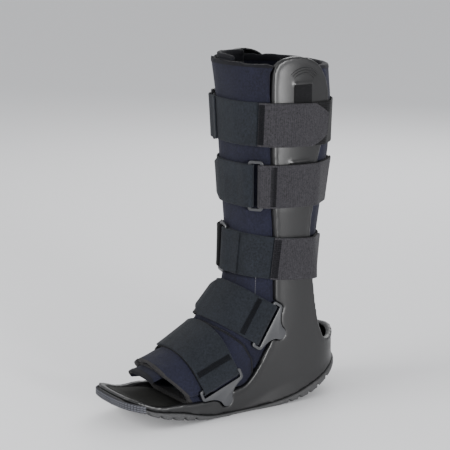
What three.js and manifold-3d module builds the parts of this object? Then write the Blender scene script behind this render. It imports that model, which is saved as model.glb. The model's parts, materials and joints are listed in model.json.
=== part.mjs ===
// A tall medical walking boot: a moulded shell with two side uprights on a rocker sole, a
// padded wrap-round liner, three leg straps and two foot straps with their buckles.
// Millimetres, +Z up, toe towards -Y, strap ends on the +X side. While it is built, the
// leg's axis is x = 0, y = 0 and the ground is z = 0.
import * as THREE from "three";
import { mergeVertices } from "three/addons/utils/BufferGeometryUtils.js";
import Module from "manifold-3d";

const wasm = await Module();
wasm.setup();

// Overall form
const FOOT_LENGTH = 307; // toe tip to heel back of the shell
const FOOT_WIDTH = 108; // widest place of the shell, at the ball of the foot
const UPRIGHT_TOP = 414.5; // top of the side uprights above the ground
const LEG_SPAN = 120; // full width that the leg sections are shares of
const UPRIGHT_STAND = 3; // how far an upright's outer face stands out of the liner's side
const UPRIGHT_SPAN = 0.95 * LEG_SPAN + 2 * UPRIGHT_STAND; // across the two uprights' tops
const AXIS_SHARE = 0.733; // the leg's axis, as a share of the foot length from the toe
const GAP = 0.35; // clearance between two pieces that touch
const FACET = 0.08; // how far a facet may lie from the surface it stands for

// Shell
const SHELL_WALL = 4.2;
const LIP_DEPTH = 7; // the edge's returned flange, measured from the outer face
const LIP_HEIGHT = 3;
const FLOOR = 2.4; // tray floor under the footbed
const TRAY_WALL = 28; // height of the low side walls above the sole's upper line
const SKIRT_FLARE = 3; // how far the band above the sole stands out
const SKIRT_BAND = 17; // greatest height of that band
const BOW = 6; // how far an upright's edges bend in towards the leg
const UPRIGHT_WIDTH = 79.5; // front to back at the top of one upright
const UPRIGHT_MIDDLE = 0.746; // its middle, as a share of the foot length

// Sole
const SOLE_THICKNESS = 11;
const TOE_SPRING = 32; // rise of the rocker at the toe
const HEEL_SPRING = 32; // rise of the rocker at the heel
const SOLE_FLARE = 1.5;
const TREAD_GROOVE = 3.4;
const TREAD_PITCH = 15;
const BUMPER_THICKNESS = 2;
const BUMPER_REACH = 20; // how far the toe bumper wraps back along the sides
const FOOTBED_THICKNESS = 3;

// Liner
const LEG_DEPTH = 78; // reach in front of and behind the axis that they are shares of
const INSTEP_TOP = 143; // height of the liner over the front of the ankle
const LINER_TOP = 411.5; // at the front
const LINER_TOP_FALL = 11; // from the front of the top edge to its back
const LINER_TOP_LEAN = 4; // from the far side to the near side
const LINER_WALL = 8;
const LINER_SOLE = 5;
const FLAP_THICKNESS = 5; // the outer layer, where the front flaps overlap
const TONGUE_THICKNESS = 4;
const TONGUE_REACH = 5; // the inner flap stands above the top edge

// Webbing and buckles
const WEB_WIDTH = 50.8;
const WEB_THICKNESS = 1.8;
const BAR_WIDTH = 3.4;
const BAR_HEIGHT = 2.4;
const BAR_CLEAR = 0.75;
const WRAP_CLEAR = 0.95; // between webbing and the body it lies on
const LAYER_CLEAR = 0.5; // between two layers of webbing
const BUCKLE_LENGTH = 60;
const BUCKLE_WINDOW = 11.2; // between the two bars of a leg buckle
const FOLD_LENGTH = 17; // webbing turned back round a bar
const CHAFE_SLOT = 7;
const CHAFE_REACH = 33; // bar to the tip of the chafe's tab
const CHAFE_TIP = 7.5; // radius of the tab's round end
const CHAFE_CLEAR = 0.7; // between the tab and its notch in the shell
const TAB_CUT = 18; // length of the cut corners at a strap's end

// Hook patches on the uprights
const PATCH_WIDTH = 24;
const PATCH_THICKNESS = 1.2;
const PATCH_LEDGE = 2;

// The shell from above. along: share of the foot length from the toe; half: share of
// half the foot width.
const PLAN = [
  [0, 0], [0.002, 0.278], [0.01, 0.5], [0.026, 0.676], [0.051, 0.796], [0.102, 0.898],
  [0.166, 0.963], [0.262, 1], [0.358, 0.981], [0.454, 0.948], [0.55, 0.93], [0.677, 0.926],
  [0.738, 0.926], [0.805, 0.907], [0.869, 0.852], [0.914, 0.75], [0.952, 0.583],
  [0.978, 0.398], [0.994, 0.204], [1, 0],
].map(([along, half]) => ({ along, half }));

// The sole from the side. rise: share of the toe spring ahead of the flat tread and of the
// heel spring behind it; thick: share of the sole's thickness; skirt: share of the height
// of the band that stands out above it.
const SOLE = [
  [0, 1, 0.45, 0], [0.022, 0.86, 0.47, 0], [0.045, 0.75, 0.5, 0], [0.073, 0.61, 0.5, 0],
  [0.11, 0.455, 0.56, 0], [0.149, 0.335, 0.7, 0], [0.19, 0.245, 0.78, 0],
  [0.227, 0.18, 0.77, 0], [0.27, 0.11, 0.6, 0], [0.32, 0.04, 0.42, 0],
 [0.37, 0, 0.3, 0], [0.46, 0, 0.24, 0.02],
  [0.51, 0, 0.24, 0.27], [0.57, 0, 0.26, 0.55], [0.635, 0, 0.4, 0.92], [0.695, 0, 0.62, 1],
  [0.757, 0.1, 0.7, 0.86], [0.805, 0.17, 0.95, 0.66], [0.843, 0.32, 0.85, 0.55],
  [0.884, 0.52, 0.75, 0.5], [0.935, 0.76, 0.72, 0.5], [1, 1, 0.64, 0.5],
].map(([along, rise, thick, skirt]) => ({ along, rise, thick, skirt }));

// The low rim of the tray, from the toe back. wall: share of the tray wall above the sole.
const TRAY_RIM = [
  [-0.03, 0.26], [0.038, 0.22], [0.071, 0.25], [0.113, 0.23], [0.156, 0.25], [0.187, 0.33],
  [0.23, 0.4], [0.272, 0.47], [0.318, 0.61], [0.364, 0.77], [0.406, 0.84], [0.447, 0.93],
  [0.497, 1],
].map(([along, wall]) => ({ along, wall }));

// The front edge of an upright, going up, its round top, and its rear edge with the heel
// cup's rim, going down. up: share of the upright's top.
const FRONT_EDGE = [
  [0.524, 0.088], [0.552, 0.11], [0.581, 0.139], [0.6, 0.163], [0.622, 0.183], [0.64, 0.212],
  [0.648, 0.246], [0.648, 0.374], [0.638, 0.527], [0.629, 0.569], [0.622, 0.707],
  [0.617, 0.878], [0.617, 0.926],
].map(([along, up]) => ({ along, up }));
const DOME = [
  [0.619, 0.958], [0.63, 0.979], [0.65, 0.992], [0.673, 0.998], [0.7, 1], [0.726, 1],
  [0.756, 0.996], [0.788, 0.987], [0.819, 0.971], [0.844, 0.949], [0.862, 0.923],
  [0.873, 0.89],
].map(([along, up]) => ({ along, up }));
const REAR_EDGE = [
  [0.875, 0.859], [0.86, 0.799], [0.834, 0.743], [0.815, 0.697], [0.8, 0.557], [0.793, 0.511],
  [0.805, 0.434], [0.824, 0.355], [0.831, 0.309], [0.84, 0.268], [0.852, 0.227],
  [0.873, 0.187], [0.893, 0.164], [0.922, 0.163], [0.964, 0.172], [1.02, 0.188],
].map(([along, up]) => ({ along, up }));

// Levels of the shell's loft. spread: how far the half-width has grown from the ankle's to
// the upright's.
const SHELL_LEVELS = [
  [0, 0], [0.026, 0], [0.045, 0], [0.065, 0], [0.09, 0], [0.13, 0], [0.19, 0], [0.27, 0],
  [0.379, 0], [0.51, 0.4], [0.568, 0.65], [0.748, 0.9], [0.874, 1], [1.01, 1],
].map(([up, spread]) => ({ up, spread }));

// Sections of the liner's leg: half width, reach to the front and reach to the back.
const LEG_SECTIONS = [
  [0, 0.717, 0.744, 0.846], [0.065, 0.717, 0.769, 0.872], [0.125, 0.742, 0.782, 0.885],
  [0.198, 0.75, 0.808, 0.692], [0.27, 0.75, 0.833, 0.615], [0.326, 0.758, 0.833, 0.615],
  [0.367, 0.767, 0.782, 0.615], [0.439, 0.783, 0.731, 0.641], [0.536, 0.833, 0.744, 0.718],
  [0.632, 0.883, 0.782, 0.795], [0.724, 0.917, 0.808, 0.872], [0.82, 0.942, 0.846, 0.897],
  [0.881, 0.95, 0.859, 0.897], [0.941, 0.958, 0.91, 0.859], [1.062, 0.95, 1.026, 0.795],
].map(([up, half, front, back]) => ({ up, half, front, back }));

// Sections of the liner's foot, from the ankle to the toes. top: share of the instep's top.
const FOOT_SECTIONS = [
  [0.72, 0.815, 0.909], [0.59, 0.833, 0.986], [0.528, 0.843, 1], [0.489, 0.852, 0.937],
  [0.45, 0.861, 0.811], [0.391, 0.87, 0.655], [0.362, 0.88, 0.6], [0.336, 0.88, 0.571],
  [0.257, 0.889, 0.52], [0.205, 0.88, 0.48], [0.085, 0.824, 0.415],
].map(([along, half, top]) => ({ along, half, top }));

// Leg straps, from the top. up: height of the middle; tilt: degrees, far front side up;
// ring, seam, end: degrees round the leg from the front towards +X.
const LEG_STRAPS = [
  { up: 0.814, tilt: 2.5, ring: -40, seam: 41.5, end: 132, tail: null },
  { up: 0.641, tilt: 1.5, ring: 38.5, seam: 58, end: 158, tail: -36 },
  { up: 0.433, tilt: 6, ring: -13, seam: 57, end: 163, tail: null },
];
const BACK_START = 82; // where the back layer begins on the near upright, degrees

// Foot straps: where the middle plane passes (along, up), how far its width leans back from
// vertical, and the angle of the buckle's bar from the top of the foot.
const FOOT_STRAPS = [
  { along: 0.616, up: 0.235, lean: 34, bar: 80, tip: -32 },
  { along: 0.388, up: 0.102, lean: 70, bar: 88, tip: -58 },
];

// Patches: front edge along the foot, top edge, and foot edge under the strap.
const PATCHES = [
  { along: 0.699, top: 0.922, foot: 0.865 },
  { along: 0.689, top: 0.703, foot: 0.69 },
];

const COLOURS = {
  shell: 0x3e3e3f, sole: 0x4b4b4c, bumper: 0x555860, footbed: 0x3b3a35, liner: 0x2d3042,
  lining: 0x1c1d22, web: 0x2d3239, hook: 0x434246, under: 0x16171a, ring: 0x48494c,
};

const along = (share) => (share - AXIS_SHARE) * FOOT_LENGTH;
const up = (share) => share * UPRIGHT_TOP;
const rad = THREE.MathUtils.degToRad;
const vec = (x, y, z) => new THREE.Vector3(x, y, z);

// Value of one column of a table at a place, along straight lines between its rows.
function lookUp(rows, key, column, place) {
  const sign = Math.sign(rows.at(-1)[key] - rows[0][key]);
  let i = rows.findIndex((row) => (row[key] - place) * sign > 0);
  i = i < 0 ? rows.length - 1 : Math.max(i, 1);
  const [a, b] = [rows[i - 1], rows[i]];
  const t = THREE.MathUtils.clamp((place - a[key]) / (b[key] - a[key]), 0, 1);
  return a[column] + t * (b[column] - a[column]);
}

// Solids

// A closed solid from points and triangles, its faces turned outwards.
function solidFrom(points, triangles) {
  const vertProperties = new Float32Array(points.flatMap((p) => [p.x, p.y, p.z]));
  const volume = triangles.reduce((sum, [a, b, c]) => {
    return sum + points[a].dot(points[b].clone().cross(points[c]));
  }, 0);
  const faces = volume < 0 ? triangles.map(([a, b, c]) => [a, c, b]) : triangles;
  const triVerts = new Uint32Array(faces.flat());
  return new wasm.Manifold(new wasm.Mesh({ numProp: 3, vertProperties, triVerts }));
}

// A solid from a three.js geometry.
function solidOf(geometry) {
  const plain = geometry.index ? geometry.toNonIndexed() : geometry.clone();
  for (const name of Object.keys(plain.attributes)) {
    if (name !== "position") plain.deleteAttribute(name);
  }
  const merged = mergeVertices(plain, 1e-3);
  const position = merged.getAttribute("position");
  const points = Array.from({ length: position.count }, (_, i) =>
    vec(position.getX(i), position.getY(i), position.getZ(i)),
  );
  const index = merged.index.array;
  const triangles = [];
  for (let i = 0; i < index.length; i += 3) {
    triangles.push([index[i], index[i + 1], index[i + 2]]);
  }
  return solidFrom(points, triangles);
}

// A solid through rings of equally many points, with flat ends. turned picks the squares
// that are split along their other diagonal.
function loft(rings, turned = () => false) {
  const n = rings[0].length;
  const points = rings.flat();
  const last = (rings.length - 1) * n;
  const triangles = [];
  for (let r = 0; r < rings.length - 1; r += 1) {
    for (let i = 0; i < n; i += 1) {
      const [a, b] = [r * n + i, r * n + ((i + 1) % n)];
      if (turned(r, i)) triangles.push([a, b, a + n], [b, b + n, a + n]);
      else triangles.push([a, b, b + n], [a, b + n, a + n]);
    }
  }
  for (let i = 1; i < n - 1; i += 1) {
    triangles.push([0, i + 1, i], [last, last + i, last + i + 1]);
  }
  return solidFrom(points, triangles);
}

// A side view [y, z] carried across the boot from x = from to x = to.
function sideSolid(outline, from = -200, to = 200) {
  const shape = new THREE.Shape(outline.map(([y, z]) => new THREE.Vector2(y, z)));
  const geometry = new THREE.ExtrudeGeometry(shape, { depth: to - from, bevelEnabled: false });
  const turn = new THREE.Matrix4().makeBasis(vec(0, 1, 0), vec(0, 0, 1), vec(1, 0, 0));
  return solidOf(geometry.applyMatrix4(turn.setPosition(from, 0, 0)));
}

// A wedge round the leg's axis between two angles, from one height to another.
function wedge(fromAngle, toAngle, low, high) {
  const steps = Math.ceil((toAngle - fromAngle) / 40);
  const outline = [new THREE.Vector2(0, 0)];
  for (let i = 0; i <= steps; i += 1) {
    const angle = rad(fromAngle + ((toAngle - fromAngle) * i) / steps);
    outline.push(new THREE.Vector2(Math.sin(angle) * 300, -Math.cos(angle) * 300));
  }
  const shape = new THREE.Shape(outline);
  const geometry = new THREE.ExtrudeGeometry(shape, { depth: high - low, bevelEnabled: false });
  return solidOf(geometry.translate(0, 0, low));
}

// The biggest body of a solid: what a trim leaves loose is dropped.
function mainBody(solid) {
  return solid.decompose().reduce((a, b) => (a.volume() > b.volume() ? a : b));
}

const unite = (first, ...others) => others.reduce((sum, part) => sum.add(part), first);
const trim = (first, ...others) => others.reduce((rest, part) => rest.subtract(part), first);

// A closed ring in a plane, moved outwards by a distance along its own normals.
function offsetRing(ring, distance, axis) {
  const middle = ring.reduce((sum, p) => sum.add(p), vec(0, 0, 0)).divideScalar(ring.length);
  return ring.map((point, i) => {
    const before = ring.at(i - 1);
    const after = ring[(i + 1) % ring.length];
    const normal = after.clone().sub(before).cross(axis).normalize();
    if (normal.dot(point.clone().sub(middle)) < 0) normal.negate();
    return point.clone().addScaledVector(normal, distance);
  });
}

// A side outline [y, z] moved outwards by a distance, square at its corners.
function offsetOutline(outline, distance) {
  const area = outline.reduce((sum, [y, z], i) => {
    const [y2, z2] = outline[(i + 1) % outline.length];
    return sum + y * z2 - y2 * z;
  }, 0);
  const side = Math.sign(area) * distance;
  return outline.map(([y, z], i) => {
    const [y0, z0] = outline.at(i - 1);
    const [y2, z2] = outline[(i + 1) % outline.length];
    const a = new THREE.Vector2(z - z0, y0 - y).normalize();
    const b = new THREE.Vector2(z2 - z, y - y2).normalize();
    const step = side / Math.max(0.5, 1 + a.dot(b));
    return [y + (a.x + b.x) * step, z + (a.y + b.y) * step];
  });
}

// The sole and the tray

const soleBottom = (share) => {
  const spring = share < 0.5 ? TOE_SPRING : HEEL_SPRING;
  return lookUp(SOLE, "along", "rise", share) * spring;
};
const soleTop = (share) => {
  return soleBottom(share) + lookUp(SOLE, "along", "thick", share) * SOLE_THICKNESS;
};
const shares = SOLE.map((row) => row.along);

// A line [y, z] at a height above the sole's upper face, run out past both ends.
function lineAbove(height) {
  const line = shares.map((share) => [along(share), soleTop(share) + height]);
  const [first, second] = line;
  const [y, z] = line.at(-1);
  const slope = (first[1] - second[1]) / (first[0] - second[0]);
  return [[first[0] - 30, first[1] - 30 * slope], ...line, [y + 30, z + 8]];
}

// Everything above that line.
function above(height, top = 600) {
  const line = lineAbove(height);
  return sideSolid([...line, [line.at(-1)[0], top], [line[0][0], top]]);
}

const planCurve = new THREE.SplineCurve(
  PLAN.map((row) => new THREE.Vector2(row.along * FOOT_LENGTH, (row.half * FOOT_WIDTH) / 2)),
);
const planSide = planCurve.getSpacedPoints(21).map((p) => ({
  y: p.x + along(0),
  half: Math.max(0, p.y),
}));
const ankleSpan = lookUp(PLAN, "along", "half", AXIS_SHARE) * FOOT_WIDTH;

// The outline of the shell at one level, grown by an offset. Going up it changes from the
// foot's plan to the bowed plates of the uprights.
function shellRing({ up: share, spread }, offset) {
  const z = up(share);
  const { smoothstep, lerp, clamp } = THREE.MathUtils;
  const grow = 1 + (UPRIGHT_SPAN / ankleSpan - 1) * spread;
  const plate = smoothstep(share, 0.12, 0.3);
  const middle = along(UPRIGHT_MIDDLE);
  const side = planSide.map(({ y, half }) => {
    const bend = BOW * Math.min(1.5, ((y - middle) / (UPRIGHT_WIDTH / 2)) ** 2);
    const flat = Math.max(0, Math.min(ankleSpan / 2, half * 1.35) - (half > 0 ? bend : 0));
    return vec(lerp(half, flat, plate) * grow, y, z);
  });
  const mirrored = side.slice(1, -1).reverse().map((p) => vec(-p.x, p.y, p.z));
  const ring = offsetRing([...side, ...mirrored], offset, vec(0, 0, 1));
  // Below the crease the wall stands out towards the sole.
  return ring.map((p) => {
    const place = clamp(p.y / FOOT_LENGTH + AXIS_SHARE, 0, 1);
    const band = lookUp(SOLE, "along", "skirt", place) * SKIRT_BAND;
    const depth = clamp((soleTop(place) + band - z) / SKIRT_BAND, 0, band / SKIRT_BAND);
    const centre = Math.min(p.y, along(0.82));
    const outward = vec(p.x, p.y - centre, 0);
    return p.addScaledVector(outward.normalize(), depth * SKIRT_FLARE);
  });
}
const shellLoft = (offset) => loft(SHELL_LEVELS.map((level) => shellRing(level, offset)));

// The side view of the shell: rim, upright with its round top, heel cup, underside. A drop
// lowers the underside and runs the toe out, for outlines that only trim the upper edges.
function shellOutline(drop = 0) {
  const rim = TRAY_RIM.map((row) => [
    along(row.along),
    soleTop(Math.max(0, row.along)) + row.wall * TRAY_WALL,
  ]);
  const edge = (rows) => rows.map((row) => [along(row.along), up(row.up)]);
  const under = lineAbove(GAP - drop).slice(1, -1).reverse();
  const toe = under.at(-1);
  if (drop) rim.unshift([rim[0][0] - drop, rim[0][1] + drop * 0.6]);
  return [
    ...rim, ...edge(FRONT_EDGE), ...edge(DOME), ...edge(REAR_EDGE),
    [along(1.02), under[0][1]], ...under, [rim[0][0], toe[1]],
  ];
}
const shellSide = shellOutline();
const upperEdges = shellOutline(40);

const rawShell = trim(
  shellLoft(0).intersect(sideSolid(shellSide)),
  shellLoft(-LIP_DEPTH).intersect(above(FLOOR)),
  shellLoft(-SHELL_WALL)
    .intersect(above(FLOOR))
    .intersect(sideSolid(offsetOutline(upperEdges, -LIP_HEIGHT))),
);

// What the shell takes from whatever lies inside it.
const shellRoom = trim(
  sideSolid(offsetOutline(upperEdges, GAP)),
  shellLoft(-LIP_DEPTH - GAP),
);

function makeSole() {
  const wide = (offset) => loft([0, 0.2].map((share) => shellRing({ up: share, spread: 0 }, offset)));
  const top = shares.map((share) => [along(share), soleTop(share)]);
  const bottom = shares.map((share) => [along(share), soleBottom(share)]).reverse();
  const [toeTop, heelTop] = [top[0], top.at(-1)];
  const [heelLow, toeLow] = [bottom[0], bottom.at(-1)];
  const outline = [
    [toeTop[0] - 20, toeTop[1]], ...top, [heelTop[0] + 20, heelTop[1]],
    [heelLow[0] + 20, heelLow[1]], ...bottom, [toeLow[0] - 20, toeLow[1]],
  ];
  const body = wide(SOLE_FLARE).intersect(sideSolid(outline));
  const grooves = [];
  const groove = (y, share) => {
    const z = soleBottom(share);
    const box = new THREE.BoxGeometry(300, TREAD_GROOVE, TREAD_GROOVE * 2);
    grooves.push(solidOf(box.translate(0, y, z)));
  };
  for (let i = 0; i < 5; i += 1) {
    groove(along(0.08) + i * TREAD_PITCH, 0.08 + (i * TREAD_PITCH) / FOOT_LENGTH);
    groove(along(0.9) - i * TREAD_PITCH, 0.9 - (i * TREAD_PITCH) / FOOT_LENGTH);
  }
  return trim(body, ...grooves);
}

function makeBumper() {
  const ring = (offset) => {
    return loft([0, 0.2].map((share) => shellRing({ up: share, spread: 0 }, offset)));
  };
  const share = BUMPER_REACH / FOOT_LENGTH;
  const outline = [
    [along(-0.1), soleTop(0) + TRAY_WALL * 0.2], [along(share), soleTop(share) + TRAY_WALL * 0.16],
    [along(share), soleBottom(share) + 1], [along(-0.1), soleBottom(0) + 1],
  ];
  return trim(ring(SOLE_FLARE + BUMPER_THICKNESS), ring(SOLE_FLARE + GAP)).intersect(
    sideSolid(outline),
  );
}

function makeFootbed() {
  const plate = above(FLOOR + GAP).subtract(above(FLOOR + GAP + FOOTBED_THICKNESS));
  return shellLoft(-LIP_DEPTH - GAP).intersect(plate);
}
const footbedTop = FLOOR + GAP + FOOTBED_THICKNESS;

// The liner

// One leg section: a rounded outline round the axis.
function legRing({ up: share, half, front, back }, offset) {
  const count = 26;
  const ring = Array.from({ length: count }, (_, i) => {
    const angle = (i / count) * Math.PI * 2;
    const [s, c] = [Math.sin(angle), Math.cos(angle)];
    const reach = (c > 0 ? front : back) * LEG_DEPTH;
    const round = (v) => Math.sign(v) * Math.abs(v) ** 0.86;
    return vec((round(s) * half * LEG_SPAN) / 2, -round(c) * reach, up(share));
  });
  return offsetRing(ring, offset, vec(0, 0, 1));
}
const legTube = (offset) => loft(LEG_SECTIONS.map((row) => legRing(row, offset)));

// One foot section: an arch over the foot, closed below the floor.
function footRing({ along: share, half, top }, offset) {
  const count = 24;
  const height = top * INSTEP_TOP;
  const middle = height * 0.42;
  const ring = Array.from({ length: count }, (_, i) => {
    const angle = (i / count) * Math.PI * 2;
    const [s, c] = [Math.sin(angle), Math.cos(angle)];
    const round = (v) => Math.sign(v) * Math.abs(v) ** 0.84;
    const reach = c > 0 ? height - middle : middle + 12;
    return vec((round(s) * half * FOOT_WIDTH) / 2, along(share), middle + round(c) * reach);
  });
  return offsetRing(ring, offset, vec(0, 1, 0));
}
const footTube = (offset) => loft(FOOT_SECTIONS.map((row) => footRing(row, offset)));

// Everything behind the slanted toe opening, and below the sloping top edge.
const toeOpening = [
  [along(0.14), INSTEP_TOP * 0.54], [along(0.173), INSTEP_TOP * 0.38],
  [along(0.244), INSTEP_TOP * 0.22], [along(0.277), INSTEP_TOP * 0.1],
];
const behindOpening = sideSolid([
  [along(0.08), 500], ...toeOpening, [along(0.29), -50], [along(1.3), -50], [along(1.3), 500],
]);
function belowTop(extra = 0) {
  const z = (x, y) => {
    const back = (y + LEG_DEPTH) / (2 * LEG_DEPTH);
    const lean = (x / LEG_SPAN) * LINER_TOP_LEAN;
    return LINER_TOP + extra - back * LINER_TOP_FALL - lean;
  };
  const corner = [[-200, -200], [200, -200], [200, 200], [-200, 200]];
  return loft([
    corner.map(([x, y]) => vec(x, y, -50)),
    corner.map(([x, y]) => vec(x, y, z(x, y))),
  ]);
}

const LEG_FLAP = { from: -36, to: 70, low: 0.375 };
const legFlapSpace = (grow) => {
  const turn = THREE.MathUtils.radToDeg(grow / (LEG_SPAN / 2));
  const wide = wedge(LEG_FLAP.from - turn, LEG_FLAP.to + turn, up(LEG_FLAP.low) - grow, 600);
  return wide;
};
const footFlapSpace = (grow) => {
  const rear = [[0.402, 0.78], [0.412, 0.73], [0.45, 0.68], [0.515, 0.56], [0.55, 0.42]];
  const low = INSTEP_TOP * 0.2 - grow;
  return sideSolid(
    [
      [along(0.05), 300], [along(0.402) + grow, 300],
      ...rear.map(([share, height]) => [along(share) + grow, height * INSTEP_TOP]),
      [along(0.555) + grow, low], [along(0.05), low],
    ],
    -FOOT_WIDTH * 0.2 - grow,
    200,
  );
};

const linerBody = legTube(0).add(footTube(0)).intersect(above(footbedTop + GAP));
const linerHollow = legTube(-LINER_WALL)
  .add(footTube(-LINER_WALL))
  .intersect(above(footbedTop + GAP + LINER_SOLE));
const FLAP_SEAT = -FLAP_THICKNESS - GAP;

const liner = mainBody(
  trim(
    linerBody.intersect(belowTop()).intersect(behindOpening),
    linerHollow,
    shellRoom,
    legFlapSpace(GAP).subtract(legTube(FLAP_SEAT).add(footTube(0))),
    footFlapSpace(GAP).subtract(footTube(FLAP_SEAT).add(legTube(0))),
  ),
);
const legFlap = mainBody(
  trim(
    legTube(0).intersect(legFlapSpace(0)).intersect(belowTop()),
    legTube(-FLAP_THICKNESS),
    footTube(GAP),
    shellRoom,
  ),
);
const footFlap = mainBody(
  trim(
    footTube(0).intersect(footFlapSpace(0)).intersect(behindOpening),
    footTube(-FLAP_THICKNESS),
    legTube(GAP),
    shellRoom,
  ),
);
const INNER = -LINER_WALL - GAP;
const tongue = mainBody(
  trim(
    legTube(INNER).intersect(wedge(-78, 12, up(0.82), 600)).intersect(belowTop(TONGUE_REACH)),
    legTube(INNER - TONGUE_THICKNESS),
  ),
);
const toeFlap = mainBody(
  trim(
    footTube(INNER).intersect(
      sideSolid(
        [
          [along(0.3), 300], [along(0.13), 300], [along(0.125), 52], [along(0.16), 38],
          [along(0.25), 34], [along(0.3), 34],
        ],
        -60,
        24,
      ),
    ),
    footTube(INNER - TONGUE_THICKNESS),
  ),
);

// Strap runs

// The triangles of solids, as corner points.
function trianglesOf(solids) {
  return solids.flatMap((solid) => {
    const { vertProperties, triVerts, numProp } = solid.getMesh();
    const corner = (i) => vec(...vertProperties.slice(i * numProp, i * numProp + 3));
    const list = [];
    for (let i = 0; i < triVerts.length; i += 3) {
      list.push([corner(triVerts[i]), corner(triVerts[i + 1]), corner(triVerts[i + 2])]);
    }
    return list;
  });
}

// Convex outline of flat points, counter-clockwise.
function hullOf(points) {
  const sorted = [...points].sort((a, b) => a.x - b.x || a.y - b.y);
  const turn = (o, a, b) => (a.x - o.x) * (b.y - o.y) - (a.y - o.y) * (b.x - o.x);
  const chain = (list) => {
    const kept = [];
    for (const p of list) {
      while (kept.length > 1 && turn(kept.at(-2), kept.at(-1), p) <= 0) kept.pop();
      kept.push(p);
    }
    return kept.slice(0, -1);
  };
  return [...chain(sorted), ...chain(sorted.reverse())];
}

// How far the convex outline reaches from the origin in a direction.
function reachOf(hull, direction) {
  let best = 0;
  hull.forEach((a, i) => {
    const b = hull[(i + 1) % hull.length];
    const edge = b.clone().sub(a);
    const across = direction.cross(edge);
    if (Math.abs(across) < 1e-9) return;
    const t = a.cross(edge) / across;
    const s = a.cross(direction) / across;
    if (t > 0 && s > -1e-6 && s < 1 + 1e-6) best = Math.max(best, t);
  });
  return best;
}

// The way that a strap takes round what lies under it: a ruled band along the convex
// outline of the section, with a length s along the middle and a height h above it.
class Wrap {
  constructor(triangles, { centre, across, ahead }, steps = 48) {
    const side = ahead.clone().cross(across);
    if (side.x < 0) side.negate();
    this.across = across;
    const outline = (offset) => {
      const origin = centre.clone().addScaledVector(across, offset);
      const flat = [];
      for (const corners of triangles) {
        const heights = corners.map((p) => p.clone().sub(origin).dot(across));
        for (let i = 0; i < 3; i += 1) {
          const j = (i + 1) % 3;
          if (heights[i] > 0 === heights[j] > 0) continue;
          const t = heights[i] / (heights[i] - heights[j]);
          const p = corners[i].clone().lerp(corners[j], t).sub(origin);
          flat.push(new THREE.Vector2(p.dot(ahead), p.dot(side)));
        }
      }
      return hullOf(flat);
    };
    const half = WEB_WIDTH / 2;
    const rows = [-1, -0.67, -0.33, 0, 0.33, 0.67, 1];
    const hulls = rows.map((row) => outline(row * half));
    const heading = (angle) => new THREE.Vector2(Math.cos(angle), Math.sin(angle));
    const step = (Math.PI * 2) / steps;
    // Straight across the width, and clear of the middle.
    const reaches = (angle) => {
      const r = hulls.map((hull) => reachOf(hull, heading(angle)));
      const [low, high] = [r[0], r.at(-1)];
      const over = Math.max(...r.map((v, k) => v - low - ((high - low) * (rows[k] + 1)) / 2));
      return [low + over, high + over];
    };
    const at = Array.from({ length: steps }, (_, i) => reaches(i * step));
    // Each chord is pushed out until it clears the outline between its ends.
    const push = at.map(() => [0, 0]);
    for (let i = 0; i < steps; i += 1) {
      const j = (i + 1) % steps;
      for (const part of [0.15, 0.3, 0.45, 0.6, 0.75, 0.9]) {
        const angle = (i + part) * step;
        const need = reaches(angle);
        for (const k of [0, 1]) {
          const [a, b] = [heading(i * step), heading((i + 1) * step)];
          a.multiplyScalar(at[i][k]);
          b.multiplyScalar(at[j][k]);
          const chord = reachOf([a, b, a.clone().multiplyScalar(0.5)], heading(angle));
          push[i][k] = Math.max(push[i][k], need[k] - chord);
          push[j][k] = Math.max(push[j][k], need[k] - chord);
        }
      }
    }
    const place = (i, k, offset) => {
      const angle = i * step;
      const reach = at[i][k] + push[i][k];
      return centre
        .clone()
        .addScaledVector(across, offset)
        .addScaledVector(ahead, Math.cos(angle) * reach)
        .addScaledVector(side, Math.sin(angle) * reach);
    };
    this.low = at.map((_, i) => place(i, 0, -half));
    this.high = at.map((_, i) => place(i, 1, half));
    this.steps = steps;
    const middle = (i) => this.low[i % steps].clone().lerp(this.high[i % steps], 0.5);
    this.lengths = [0];
    for (let i = 0; i < steps; i += 1) {
      this.lengths.push(this.lengths[i] + middle(i).distanceTo(middle(i + 1)));
    }
    this.normals = at.map((_, i) => {
      const chord = middle(i + 1).sub(middle(i + steps - 1));
      const normal = chord.cross(across).normalize();
      return normal.dot(middle(i).sub(centre)) < 0 ? normal.negate() : normal;
    });
  }

  get girth() {
    return this.lengths[this.steps];
  }

  // Length along the strap's way at an angle in degrees; it goes on past a full turn.
  lengthAt(angle) {
    const turns = Math.floor(angle / 360);
    const step = ((angle - turns * 360) / 360) * this.steps;
    const i = Math.min(Math.floor(step), this.steps - 1);
    const [a, b] = [this.lengths[i], this.lengths[i + 1]];
    return turns * this.girth + a + (b - a) * (step - i);
  }

  // The point at length s, height h and share w of the width.
  at(s, h, w) {
    const turned = ((s % this.girth) + this.girth) % this.girth;
    const i = Math.max(0, this.lengths.findIndex((length) => length > turned) - 1);
    const j = (i + 1) % this.steps;
    const t = (turned - this.lengths[i]) / (this.lengths[i + 1] - this.lengths[i]);
    const low = this.low[i].clone().lerp(this.low[j], t);
    const high = this.high[i].clone().lerp(this.high[j], t);
    const normal = this.normals[i].clone().lerp(this.normals[j], t);
    return low.lerp(high, w + 0.5).addScaledVector(normal, h);
  }

  // Places along a run between two heights, with every corner of the way between its ends.
  run(from, to, h, toHeight = h) {
    const stops = [from];
    const turns = Math.ceil(Math.max(Math.abs(from), Math.abs(to)) / this.girth);
    for (let turn = -turns; turn <= turns; turn += 1) {
      for (const length of this.lengths.slice(0, -1)) stops.push(length + turn * this.girth);
    }
    const [low, high] = [Math.min(from, to), Math.max(from, to)];
    const inside = stops.filter((s) => s > low + 1 && s < high - 1).sort((a, b) => a - b);
    if (to < from) inside.reverse();
    const height = (s) => h + ((toHeight - h) * (s - from)) / (to - from);
    return [from, ...inside, to].map((s) => ({ s, h: height(s) }));
  }
}

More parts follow.
